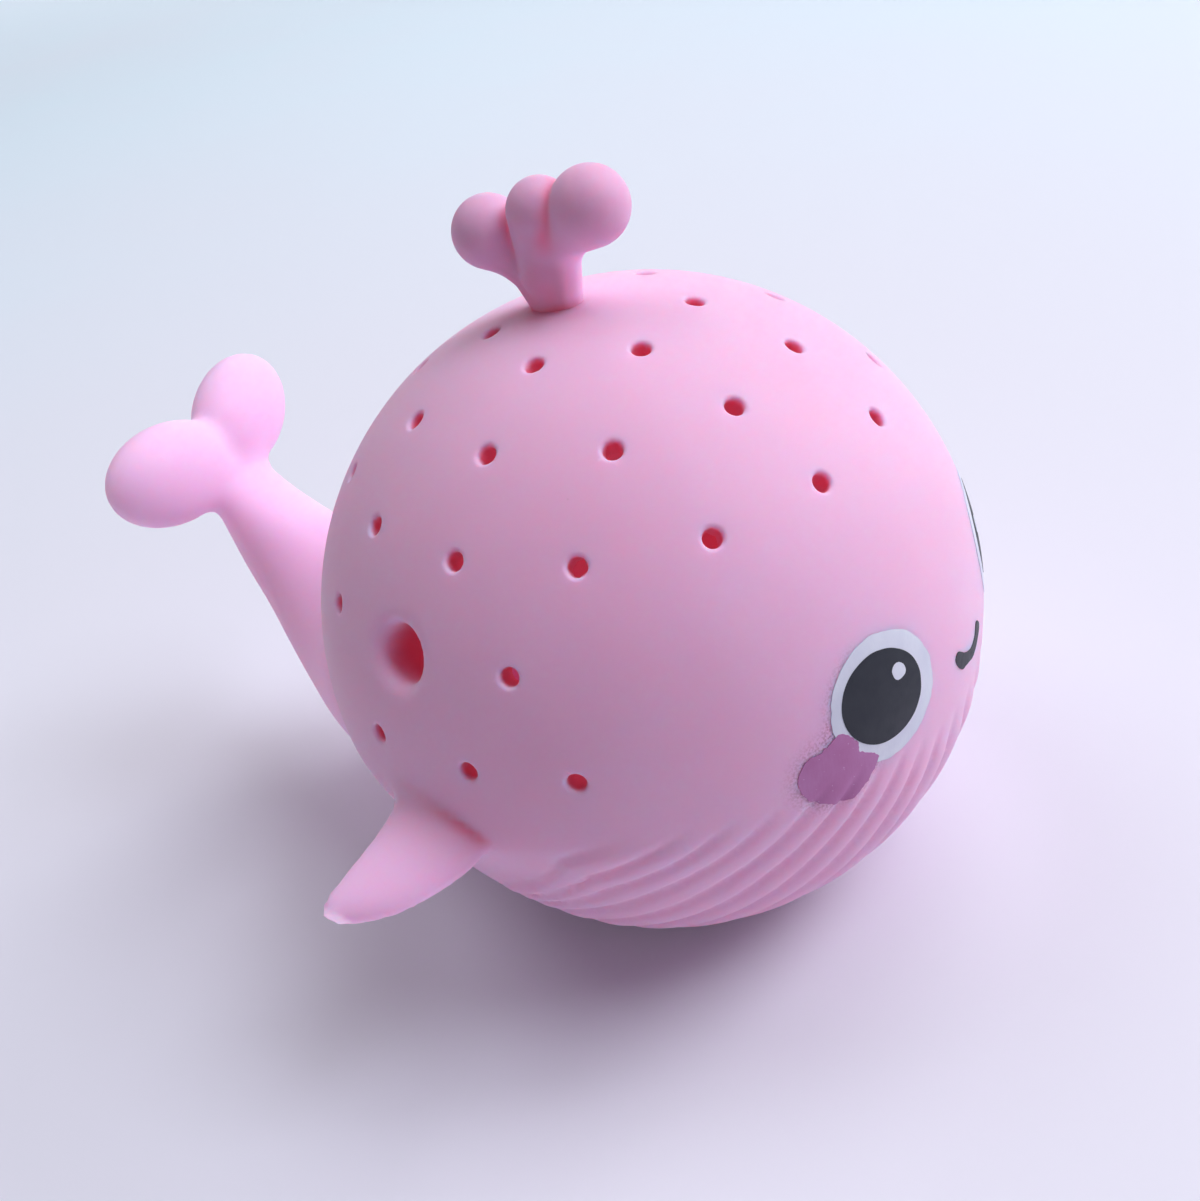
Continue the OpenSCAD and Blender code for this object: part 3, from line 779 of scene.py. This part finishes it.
def film(at, outline, lift, spacing):
    """Points and triangles of a closed film of paint that follows the skin inside an outline."""
    low, high = outline.min(0), outline.max(0)
    x, y = np.meshgrid(np.arange(low[0], high[0], spacing), np.arange(low[1], high[1], spacing))
    grid = np.column_stack([x.ravel(), y.ravel()])
    grid = grid[lies_in(outline, grid)]
    gap = np.sqrt(((grid[:, None] - outline[None]) ** 2).sum(2)).min(1)
    flat = np.vstack([outline, grid[gap > spacing / 2]])
    n = len(outline)
    made = delaunay_2d_cdt([Vector(p) for p in flat], [], [list(range(n))], 1, 1e-6)
    spread = np.array([v[:] for v in made[0]])
    tris = np.array([f for f in made[2] if len(f) == 3])
    rim = {came_from[0] if came_from else -1: i for i, came_from in enumerate(made[3])}
    edge = np.array([rim[i] for i in range(n)])
    count = len(spread)
    points = np.vstack([on_ball(at, spread, lift), on_ball(at, spread, -FILM_SUNK)])
    ahead = np.roll(edge, -1)
    wall = np.vstack([np.column_stack([edge, edge + count, ahead]),
                      np.column_stack([ahead, edge + count, ahead + count])])
    a, b, c = (spread[tris[:, k]] for k in range(3))
    turn = (b[:, 0] - a[:, 0]) * (c[:, 1] - a[:, 1]) - (b[:, 1] - a[:, 1]) * (c[:, 0] - a[:, 0])
    tris[turn < 0] = tris[turn < 0][:, ::-1]
    return points, np.vstack([tris, tris[:, ::-1] + count, wall])


def mirrored(points, faces):
    """The same mesh on the whale's left."""
    return points * np.array((1, -1, 1)), faces[:, ::-1]


def material(name):
    """A new material with its node tree and its Principled shader."""
    made = bpy.data.materials.new(name)
    made.use_nodes = True
    tree = made.node_tree
    return made, tree, tree.nodes["Principled BSDF"]


def node(tree, kind, **settings):
    """A new node; settings that are inputs go to its sockets, others to its properties."""
    made = tree.nodes.new(kind)
    for key, value in settings.items():
        if hasattr(made, key):
            setattr(made, key, value)
        else:
            made.inputs[key.replace("_", " ")].default_value = value
    return made


def noise(tree, source, scale, detail=3.0, rough=0.5):
    """Noise of a given scale per metre; returns its value socket."""
    made = node(tree, "ShaderNodeTexNoise", Scale=scale, Detail=detail, Roughness=rough)
    tree.links.new(source, made.inputs["Vector"])
    return made.outputs["Fac"]


def ramp(tree, source, low, high, to_low=0.0, to_high=1.0, smooth=False):
    """A value carried from one range to another, held at the ends."""
    made = node(tree, "ShaderNodeMapRange", clamp=True)
    if smooth:
        made.interpolation_type = "SMOOTHSTEP"
    for key, value in (("From Min", low), ("From Max", high), ("To Min", to_low), ("To Max", to_high)):
        made.inputs[key].default_value = value
    tree.links.new(source, made.inputs["Value"])
    return made.outputs["Result"]


def mix(tree, share, one, two):
    """Two colours mixed by a share socket; each colour is a tuple or a socket."""
    made = node(tree, "ShaderNodeMix", data_type="RGBA")
    tree.links.new(share, made.inputs["Factor"])
    for slot, value in (("A", one), ("B", two)):
        socket = [i for i in made.inputs if i.name == slot and i.type == "RGBA"][0]
        if isinstance(value, tuple):
            socket.default_value = (*value, 1)
        else:
            tree.links.new(value, socket)
    return [o for o in made.outputs if o.type == "RGBA"][0]


def maths(tree, operation, one, two):
    """Two sockets or numbers put together by an operation."""
    made = node(tree, "ShaderNodeMath", operation=operation)
    for k, value in enumerate((one, two)):
        if isinstance(value, (int, float)):
            made.inputs[k].default_value = value
        else:
            tree.links.new(value, made.inputs[k])
    return made.outputs[0]


def bump(tree, shader, height, depth_mm, strength, under=None):
    """Bump of a given depth from a height socket that runs from 0 to 1."""
    made = node(tree, "ShaderNodeBump", Strength=strength, Distance=depth_mm * MM)
    tree.links.new(height, made.inputs["Height"])
    if under is not None:
        tree.links.new(under, made.inputs["Normal"])
    tree.links.new(made.outputs["Normal"], shader.inputs["Normal"])
    return made.outputs["Normal"]


def place(tree):
    """The surface point in the frame, in metres."""
    return node(tree, "ShaderNodeTexCoord").outputs["Object"]


def attribute(tree, name):
    """A value that the mesh carries at its vertices."""
    return node(tree, "ShaderNodeAttribute", attribute_name=name).outputs["Fac"]


def vinyl(name, pale, rosy):
    """Soft cast vinyl: pastel skin over a red-tinted, light-scattering body, with a satin-matte finish,
    painted red shade in holes and creases, and painted glow in the hollow and through thin parts.
    """
    made, tree, shader = material(name)
    at = place(tree)
    patchy = ramp(tree, noise(tree, at, 55.0, 2.0), *NOISE_SPAN)
    skin_colour = mix(tree, patchy, pale, rosy)
    mottle = ramp(tree, noise(tree, at, 900.0, 4.0, 0.6), 0.35, 0.65, 0.0, 0.25)
    skin_colour = mix(tree, mottle, skin_colour, rosy)
    # Paler where painted light comes through the thin limbs and the stem's side
    skin_colour = mix(tree, attribute(tree, "painted_through_light"), skin_colour, VINYL_LIT_THROUGH)
    # Whitish tips of the flippers, which also carry a painted glow
    skin_colour = mix(tree, attribute(tree, "nub_and_painted_glow"), skin_colour, VINYL_NUB)
    grains = ramp(tree, noise(tree, at, 4200.0, 2.0), 0.42, 0.62)
    dust = maths(tree, "MULTIPLY", attribute(tree, "overspray"), grains)
    skin_colour = mix(tree, dust, skin_colour, OVERSPRAY)
    speck = node(tree, "ShaderNodeTexVoronoi", Scale=95.0, Randomness=1.0)
    tree.links.new(at, speck.inputs["Vector"])
    spots = ramp(tree, speck.outputs["Distance"], 0.016, 0.028, 0.5, 0.0)
    skin_colour = mix(tree, spots, skin_colour, SPECK)
    height = node(tree, "ShaderNodeSeparateXYZ")
    tree.links.new(at, height.inputs["Vector"])
    belly = ramp(tree, height.outputs["Z"], *BELLY_SPAN)
    depth = attribute(tree, "depth")
    painted_recess = maths(tree, "MULTIPLY", ramp(tree, depth, *PAINTED_RECESS_SPAN, smooth=True), belly)
    hollow = maths(tree, "MULTIPLY", ramp(tree, depth, *PAINTED_GLOW_DEPTHS), belly)
    # Painted glow: in the hollow, through the thin limbs and the stem's side, and at the flippers' tips
    painted_glow = mix(tree, hollow, BLACK, HOLLOW_PAINTED_GLOW)
    painted_glow = mix(tree, attribute(tree, "painted_through_light"), painted_glow, THROUGH_PAINTED_GLOW)
    tree.links.new(mix(tree, attribute(tree, "nub_and_painted_glow"), painted_glow, NUB_PAINTED_GLOW), shader.inputs["Emission Color"])
    shader.inputs["Emission Strength"].default_value = 1.0
    # Painted red shade in holes and recesses, growing with depth below the skin
    skin_colour = mix(tree, painted_recess, skin_colour, VINYL_PAINTED_RECESS)
    # Painted red light and shade in folds and creases
    tree.links.new(mix(tree, attribute(tree, "painted_crease_red"), skin_colour, VINYL_PAINTED_CREASE), shader.inputs["Base Color"])
    tree.links.new(ramp(tree, noise(tree, at, 300.0), *NOISE_SPAN, 0.5, 0.62), shader.inputs["Roughness"])
    shader.inputs["Specular IOR Level"].default_value = 0.35
    shader.inputs["IOR"].default_value = 1.46
    shader.inputs["Subsurface Weight"].default_value = 1.0
    shader.inputs["Subsurface Radius"].default_value = (1.0, 0.22, 0.26)
    shader.inputs["Subsurface Scale"].default_value = 2.6 * MM
    broad = bump(tree, shader, noise(tree, at, 70.0, 2.0), 0.12, 0.5)
    bump(tree, shader, noise(tree, at, 3000.0), 0.012, 0.5, broad)
    return made


def paint(name, colour, streak, rough, glitter=False):
    """Matte brushed paint: faint streaks and colour drift, and flakes in the cheek's."""
    made, tree, shader = material(name)
    at = place(tree)
    drift = ramp(tree, noise(tree, at, 260.0), *NOISE_SPAN)
    shade = mix(tree, drift, colour, streak)
    brushed = node(tree, "ShaderNodeMapping")
    brushed.inputs["Scale"].default_value = (1.0, 1.0, 0.16)
    tree.links.new(at, brushed.inputs["Vector"])
    lines = noise(tree, brushed.outputs["Vector"], 5200.0, 2.0)
    shade = mix(tree, ramp(tree, lines, 0.45, 0.75, 0.0, 0.35), shade, streak)
    if glitter:
        flakes = node(tree, "ShaderNodeTexVoronoi", Scale=7500.0)
        tree.links.new(at, flakes.inputs["Vector"])
        sparse = node(tree, "ShaderNodeSeparateColor")
        tree.links.new(flakes.outputs["Color"], sparse.inputs["Color"])
        shown = maths(tree, "MULTIPLY", ramp(tree, sparse.outputs["Red"], 0.985, 0.99),
                      ramp(tree, flakes.outputs["Distance"], 0.32, 0.38, 1.0, 0.0))
        shade = mix(tree, shown, shade, GLITTER)
        tree.links.new(ramp(tree, shown, 0.0, 1.0, rough, 0.25), shader.inputs["Roughness"])
        tree.links.new(shown, shader.inputs["Metallic"])
    else:
        uneven = ramp(tree, noise(tree, at, 900.0), *NOISE_SPAN, rough - 0.06, rough + 0.06)
        tree.links.new(uneven, shader.inputs["Roughness"])
    tree.links.new(shade, shader.inputs["Base Color"])
    shader.inputs["Specular IOR Level"].default_value = 0.3
    bump(tree, shader, lines, 0.012, 0.6)
    return made


def moulded_plastic():
    """Natural polyethylene of the squeaker: milky, a little waxy, with faint flow marks."""
    made, tree, shader = material("milky_polyethylene")
    at = place(tree)
    flow = ramp(tree, noise(tree, at, 240.0, 4.0, 0.6), *NOISE_SPAN)
    tree.links.new(mix(tree, flow, *PLASTIC), shader.inputs["Base Color"])
    tree.links.new(ramp(tree, noise(tree, at, 1500.0), *NOISE_SPAN, 0.34, 0.5), shader.inputs["Roughness"])
    shader.inputs["Subsurface Weight"].default_value = 0.3
    shader.inputs["Subsurface Radius"].default_value = (1.0, 0.95, 0.85)
    shader.inputs["Subsurface Scale"].default_value = 0.6 * MM
    bump(tree, shader, noise(tree, at, 2600.0), 0.01, 0.5)
    return made


def rolled_brass():
    """Thin brass strip, with fine rolling lines along the reed."""
    made, tree, shader = material("rolled_brass")
    at = place(tree)
    along = node(tree, "ShaderNodeMapping")
    along.inputs["Scale"].default_value = (1.0, 1.0, 0.05)
    tree.links.new(at, along.inputs["Vector"])
    lines = noise(tree, along.outputs["Vector"], 9000.0)
    tree.links.new(mix(tree, ramp(tree, lines, 0.35, 0.65), *BRASS), shader.inputs["Base Color"])
    tree.links.new(ramp(tree, lines, *NOISE_SPAN, 0.22, 0.36), shader.inputs["Roughness"])
    shader.inputs["Metallic"].default_value = 1.0
    bump(tree, shader, lines, 0.004, 0.5)
    return made


def finish_piece(piece, surface, slot, *nodes):
    """Dresses a piece, ties it to the whale and hides the imported solids that it stands for."""
    piece.data.materials.append(surface)
    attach(piece, "whale")
    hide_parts(*nodes)


def set_attribute(piece, name, values):
    """Gives the material a value at each vertex."""
    made = piece.data.attributes.new(name, "FLOAT", "POINT")
    made.data.foreach_set("value", values.astype(np.float32))


def ball_points(piece):
    """A piece's vertices in millimetres from the ball's centre."""
    co = np.empty(len(piece.data.vertices) * 3)
    piece.data.vertices.foreach_get("co", co)
    return co.reshape(-1, 3) / MM - np.array((0, 0, BALL_Z))


def near_side(p, least):
    """A share that grows to 1 from the whale's left to its right across the spout, for the painted seam and
    foot shade.
    """
    return least + (1 - least) * smooth_step(-p[:, 1], *NEAR_SIDE)


def fold_glow(p):
    """Where painted red light and shade pool in the fold over a flipper and in the seam round the spout's
    foot, from 0 to 1.
    """
    ball, limb = np.linalg.norm(p, axis=1) - BALL_R, fins(p)
    gap = limb - ball
    width = np.where(gap > 0, FOLD_WIDTH, FOLD_WIDTH * FOLD_WIDER)
    near = np.exp(-(gap / width) ** 2) * (ball < FOLD_END) * (limb < FOLD_END)
    above = smooth_step(p[:, 2], *FOLD_ABOVE)
    ahead = smooth_step(p[:, 0], *FOLD_AHEAD)
    seam = np.exp(-(spout(p) / SEAM_WIDTH) ** 2) * (p[:, 2] > SEAM_ABOVE) * near_side(p, 0.3)
    return np.maximum(FOLD_SHARE * near * above * ahead, SEAM_SHARE * seam)


def spout_crease_shade(p):
    """Painted red shade where two drops or their necks meet, and round the stem's foot, from 0 to 1."""
    front, middle, rear = spout_drops(p)
    gap = np.minimum(np.maximum(front, middle), np.maximum(middle, rear))
    crease = np.exp(-(gap / CREASE_WIDTH) ** 2)
    out = np.linalg.norm(p, axis=1) - BALL_R
    foot = FOOT_SHARE * (1 - smooth_step(out, *FOOT_FADE)) * near_side(p, 0.35)
    stem = STEM_SHARE * (1 - smooth_step(out, *STEM_FADE)) * (1 - smooth_step(middle - front, -0.5, 1.0))
    return CREASE_SHARE * np.maximum(crease * smooth_step(out, *CREASE_FROM), np.maximum(foot, stem))


def stem_side(p):
    """The side of the stem under the front drop, where painted light comes through it, from 0 to 1."""
    front, middle, _ = spout_drops(p)
    out = np.linalg.norm(p, axis=1) - BALL_R
    side = smooth_step(middle - front, 0.0, 1.4) * (1 - smooth_step(out, *SIDE_FADE))
    return np.maximum(side, ROUND_SHARE * (1 - smooth_step(out, *ROUND_FADE)))


def overspray(p):
    """Dust of cheek paint on the skin round the cheek and down the outer edge of the eye."""
    v = np.column_stack([p[:, 0], -np.abs(p[:, 1]), p[:, 2]])
    v /= np.linalg.norm(v, axis=1)[:, None]
    _, right, up = local_axes(*CHEEK_AT)
    flat = np.column_stack([v @ right, v @ up]) * BALL_R
    cheek = 1 - smooth_step(np.hypot(*((flat - DUST_CHEEK_AT) / DUST_CHEEK).T), *DUST_CHEEK_FADE)
    out, right, up = local_axes(*WHITE_AT)
    flat = np.column_stack([v @ right, v @ up]) * BALL_R
    rim = np.abs(np.hypot(*(flat / DUST_EYE).T) - 1.0)
    eye = np.exp(-(rim / DUST_EYE_WIDTH) ** 2) * smooth_step(flat[:, 0], *DUST_EYE_FADE)
    return np.clip(DUST_CHEEK_SHARE * cheek + DUST_EYE_SHARE * eye, 0, 1) * (v @ out > DUST_FACING)


# Pieces
vinyl_finish = vinyl("soft_pink_vinyl", VINYL_PALE, VINYL_ROSY)
spout_finish = vinyl("solid_pink_vinyl", *VINYL_SPOUT)
white_finish = paint("white_paint", *WHITE_PAINT, 0.55)
dark_finish = paint("charcoal_paint", *DARK_PAINT, 0.5)
cheek_finish = paint("mauve_glitter_paint", *CHEEK_PAINT, 0.55, glitter=True)

skin_piece = implicit_piece("vinyl_skin", skin, SKIN_BOX, GRID, fineness)
places = ball_points(skin_piece)
# Painted red light and shade in the flippers' folds and round the spout's foot
set_attribute(skin_piece, "painted_crease_red", fold_glow(places))
set_attribute(skin_piece, "overspray", overspray(places))
reach = np.linalg.norm(places, axis=1)
# Depth below the skin, which sets the painted red shade and glow in holes; the port necks get less of both
depth = ball_radius(places / reach[:, None]) - reach
set_attribute(skin_piece, "depth", np.where(port_necks(places) < 0, NECK_PAINTED_RED, 1.0) * depth)
# Painted light through the thin limbs
set_attribute(skin_piece, "painted_through_light", smooth_step(reach, BALL_R + THROUGH_LIGHT_SPAN[0], BALL_R + THROUGH_LIGHT_SPAN[1]))
# Whitish tips of the flippers, which also carry a painted glow
set_attribute(skin_piece, "nub_and_painted_glow", smooth_step(np.abs(places[:, 1]), NUB_FROM, NUB_FROM + NUB_FADE))
finish_piece(skin_piece, vinyl_finish, "vinyl", "body_shell", "tail", "fin_right", "fin_left")

spout_piece = implicit_piece("spout_drops", spout, SPOUT_BOX, SPOUT_GRID, any_length)
places = ball_points(spout_piece)
# Painted red shade in the spout's creases and round its foot
set_attribute(spout_piece, "painted_crease_red", spout_crease_shade(places))
# Painted light through the stem's side
set_attribute(spout_piece, "painted_through_light", stem_side(places))
finish_piece(spout_piece, spout_finish, "vinyl", "spout")

white_edge = ragged(oval(*WHITE_OVAL), *EDGE_WHITE)
pupil_edge = ragged(oval(*PUPIL_OVAL), *EDGE_PUPIL)
glint_edge = closed_outline(GLINT_KNOTS, 0.06)
cheek_edge = ragged(closed_outline(CHEEK_KNOTS, 0.1), *EDGE_CHEEK)
# Each film on both sides: name, finish, slot, place, outline, lift and spacing of its points
PATCHES = (
    ("eye_white", white_finish, "white_paint", WHITE_AT, white_edge, LIFT_WHITE, 0.5),
    ("pupil", dark_finish, "dark_paint", PUPIL_AT, pupil_edge, LIFT_PUPIL, 0.5),
    ("eye_glint", white_finish, "white_paint", GLINT_AT, glint_edge, LIFT_GLINT, 0.25),
    ("cheek", cheek_finish, "cheek_paint", CHEEK_AT, cheek_edge, LIFT_CHEEK, 0.35),
)
for title, surface, slot_name, at, outline, lift, spacing in PATCHES:
    points, faces = film(at, outline, lift, spacing)
    finish_piece(make_mesh(title + "_film_right", points, faces), surface, slot_name, title + "_right")
    other_side = make_mesh(title + "_film_left", *mirrored(points, faces))
    finish_piece(other_side, surface, slot_name, title + "_left")
mouth_edge = ragged(closed_outline(MOUTH_KNOTS, 0.08), *EDGE_MOUTH)
points, faces = film(MOUTH_AT, mouth_edge, LIFT_WHITE, 0.3)
finish_piece(make_mesh("mouth_film", points, faces), dark_finish, "dark_paint", "mouth")

# The squeaker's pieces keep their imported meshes
CAD_FINISH = dict.fromkeys(("squeaker_cup", "squeaker_lid", "reed_bed", "reed_clamp"), moulded_plastic())
CAD_FINISH["squeaker_reed"] = rolled_brass()
for name, surface in CAD_FINISH.items():
    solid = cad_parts[name]
    solid.data.materials.clear()
    solid.data.materials.append(surface)

# Floor, light and camera
FLOOR_SIZE = 6.0
# Near the toy the floor is darker and pinker: painted shade and pink light from the toy
FLOOR_NEAR_SHADED = (0.79, 0.77, 0.88)
FLOOR_FAR = (0.73, 0.86, 0.98)
# Where the floor's far colour takes over from its painted shade near the toy, and where its lift grows, in
# metres from the toy
FLOOR_AWAY = (0.05, 0.5)
FLOOR_LIFTS = (0.5, 1.6)
# Glow of the floor that only camera, glossy and clear rays see, near and far
FLOOR_LIFT = (0.05, 0.85)
# Each light is a round disc: azimuth from the nose towards the whale's left, height, watts and colour
LIGHT_AWAY = 1.5
LIGHT_WIDTH = 0.8
LIGHTS = {
    "window_front": (17.0, 55.0, 10.2, (0.92, 0.98, 1.04)),
    "window_main": (40.0, 38.0, 3.4, (1.0, 0.98, 1.0)),
    "window_low": (54.0, 22.0, 5.6, (1.0, 0.99, 0.95)),
    "ceiling": (77.0, 68.0, 5.4, (0.94, 0.97, 1.0)),
    "ceiling_back": (180.0, 62.0, 4.2, (0.92, 0.97, 1.0)),
    "window_back": (125.0, 12.0, 2.0, (1.0, 1.0, 1.0)),
}
SKY = (1.0, 0.80, 0.74)
SKY_STRENGTH = 0.095
# The sky that the camera sees
SKY_SEEN = (0.66, 0.76, 0.88)
# The fitted camera: focal length and picture width in pixels, axes, and place from the ball's centre
FOCAL_PX = 1448.5
PICTURE_PX = 1201
SENSOR = 36.0
CAMERA_AXES = ((0.8704, -0.1314, 0.4746), (0.4567, 0.5758, -0.6782), (-0.1841, 0.8070, 0.5611))
CAMERA_AT = (71.81, -112.06, 91.62)


def floor():
    """A matt floor that turns paler and bluer away from the toy; its darker, pinker colour near the toy is
    painted shade and pink light from the toy.
    """
    mesh = bpy.data.meshes.new("studio_floor")
    half = FLOOR_SIZE / 2
    corners = [(-half, -half, 0), (half, -half, 0), (half, half, 0), (-half, half, 0)]
    mesh.from_pydata(corners, [], [(0, 1, 2, 3)])
    ground = bpy.data.objects.new("studio_floor", mesh)
    bpy.context.scene.collection.objects.link(ground)
    made, tree, shader = material("pale_floor")
    at = place(tree)
    far = node(tree, "ShaderNodeVectorMath", operation="LENGTH")
    tree.links.new(at, far.inputs[0])
    away = ramp(tree, far.outputs["Value"], *FLOOR_AWAY, smooth=True)
    drift = ramp(tree, noise(tree, at, 9.0), *NOISE_SPAN, 0.0, 0.3)
    colour = mix(tree, drift, mix(tree, away, FLOOR_NEAR_SHADED, FLOOR_FAR), FLOOR_NEAR_SHADED)
    tree.links.new(colour, shader.inputs["Base Color"])
    shader.inputs["Roughness"].default_value = 0.8
    shader.inputs["Specular IOR Level"].default_value = 0.2
    bump(tree, shader, noise(tree, at, 900.0), 0.02, 0.3)
    path = node(tree, "ShaderNodeLightPath").outputs
    seen = maths(tree, "MAXIMUM", path["Is Camera Ray"], path["Is Glossy Ray"])
    seen = maths(tree, "MAXIMUM", seen, path["Is Transmission Ray"])
    lift = ramp(tree, far.outputs["Value"], *FLOOR_LIFTS, *FLOOR_LIFT, True)
    tree.links.new(maths(tree, "MULTIPLY", seen, lift), shader.inputs["Emission Strength"])
    shader.inputs["Emission Color"].default_value = (*FLOOR_FAR, 1)
    ground.data.materials.append(made)


def sky():
    """Faint light from all round, and a pale backdrop that only the camera sees."""
    world = bpy.data.worlds.new("studio")
    bpy.context.scene.world = world
    world.use_nodes = True
    tree = world.node_tree
    lit = tree.nodes["Background"]
    lit.inputs["Color"].default_value = (*SKY, 1)
    lit.inputs["Strength"].default_value = SKY_STRENGTH
    seen = tree.nodes.new("ShaderNodeBackground")
    seen.inputs["Color"].default_value = (*SKY_SEEN, 1)
    both = tree.nodes.new("ShaderNodeMixShader")
    path = tree.nodes.new("ShaderNodeLightPath")
    tree.links.new(path.outputs["Is Camera Ray"], both.inputs[0])
    tree.links.new(lit.outputs[0], both.inputs[1])
    tree.links.new(seen.outputs[0], both.inputs[2])
    tree.links.new(both.outputs[0], tree.nodes["World Output"].inputs["Surface"])


def area_light(name, azimuth, height, watts, colour):
    """A round soft light that faces the ball's middle."""
    lamp = bpy.data.lights.new(name, "AREA")
    lamp.shape = "DISK"
    lamp.size, lamp.energy, lamp.color = LIGHT_WIDTH, watts, colour
    made = bpy.data.objects.new(name, lamp)
    way = Vector(direction(-azimuth, height))
    made.location = Vector((0, 0, BALL_Z)) * MM + way * LIGHT_AWAY
    made.rotation_euler = way.to_track_quat("Z", "Y").to_euler()
    bpy.context.scene.collection.objects.link(made)


def camera():
    """The photograph's view."""
    lens = bpy.data.cameras.new("camera")
    lens.sensor_width = SENSOR
    lens.lens = FOCAL_PX * SENSOR / PICTURE_PX
    made = bpy.data.objects.new("camera", lens)
    x, y, z = CAMERA_AT
    at = Vector((x, y, z + BALL_Z)) * MM
    made.matrix_world = Matrix.Translation(at) @ Matrix(CAMERA_AXES).to_4x4()
    lens.clip_start = 0.005
    bpy.context.scene.collection.objects.link(made)
    bpy.context.scene.camera = made


floor()
for name, values in LIGHTS.items():
    area_light(name, *values)
sky()
camera()
bpy.context.scene.view_settings.view_transform = "Standard"
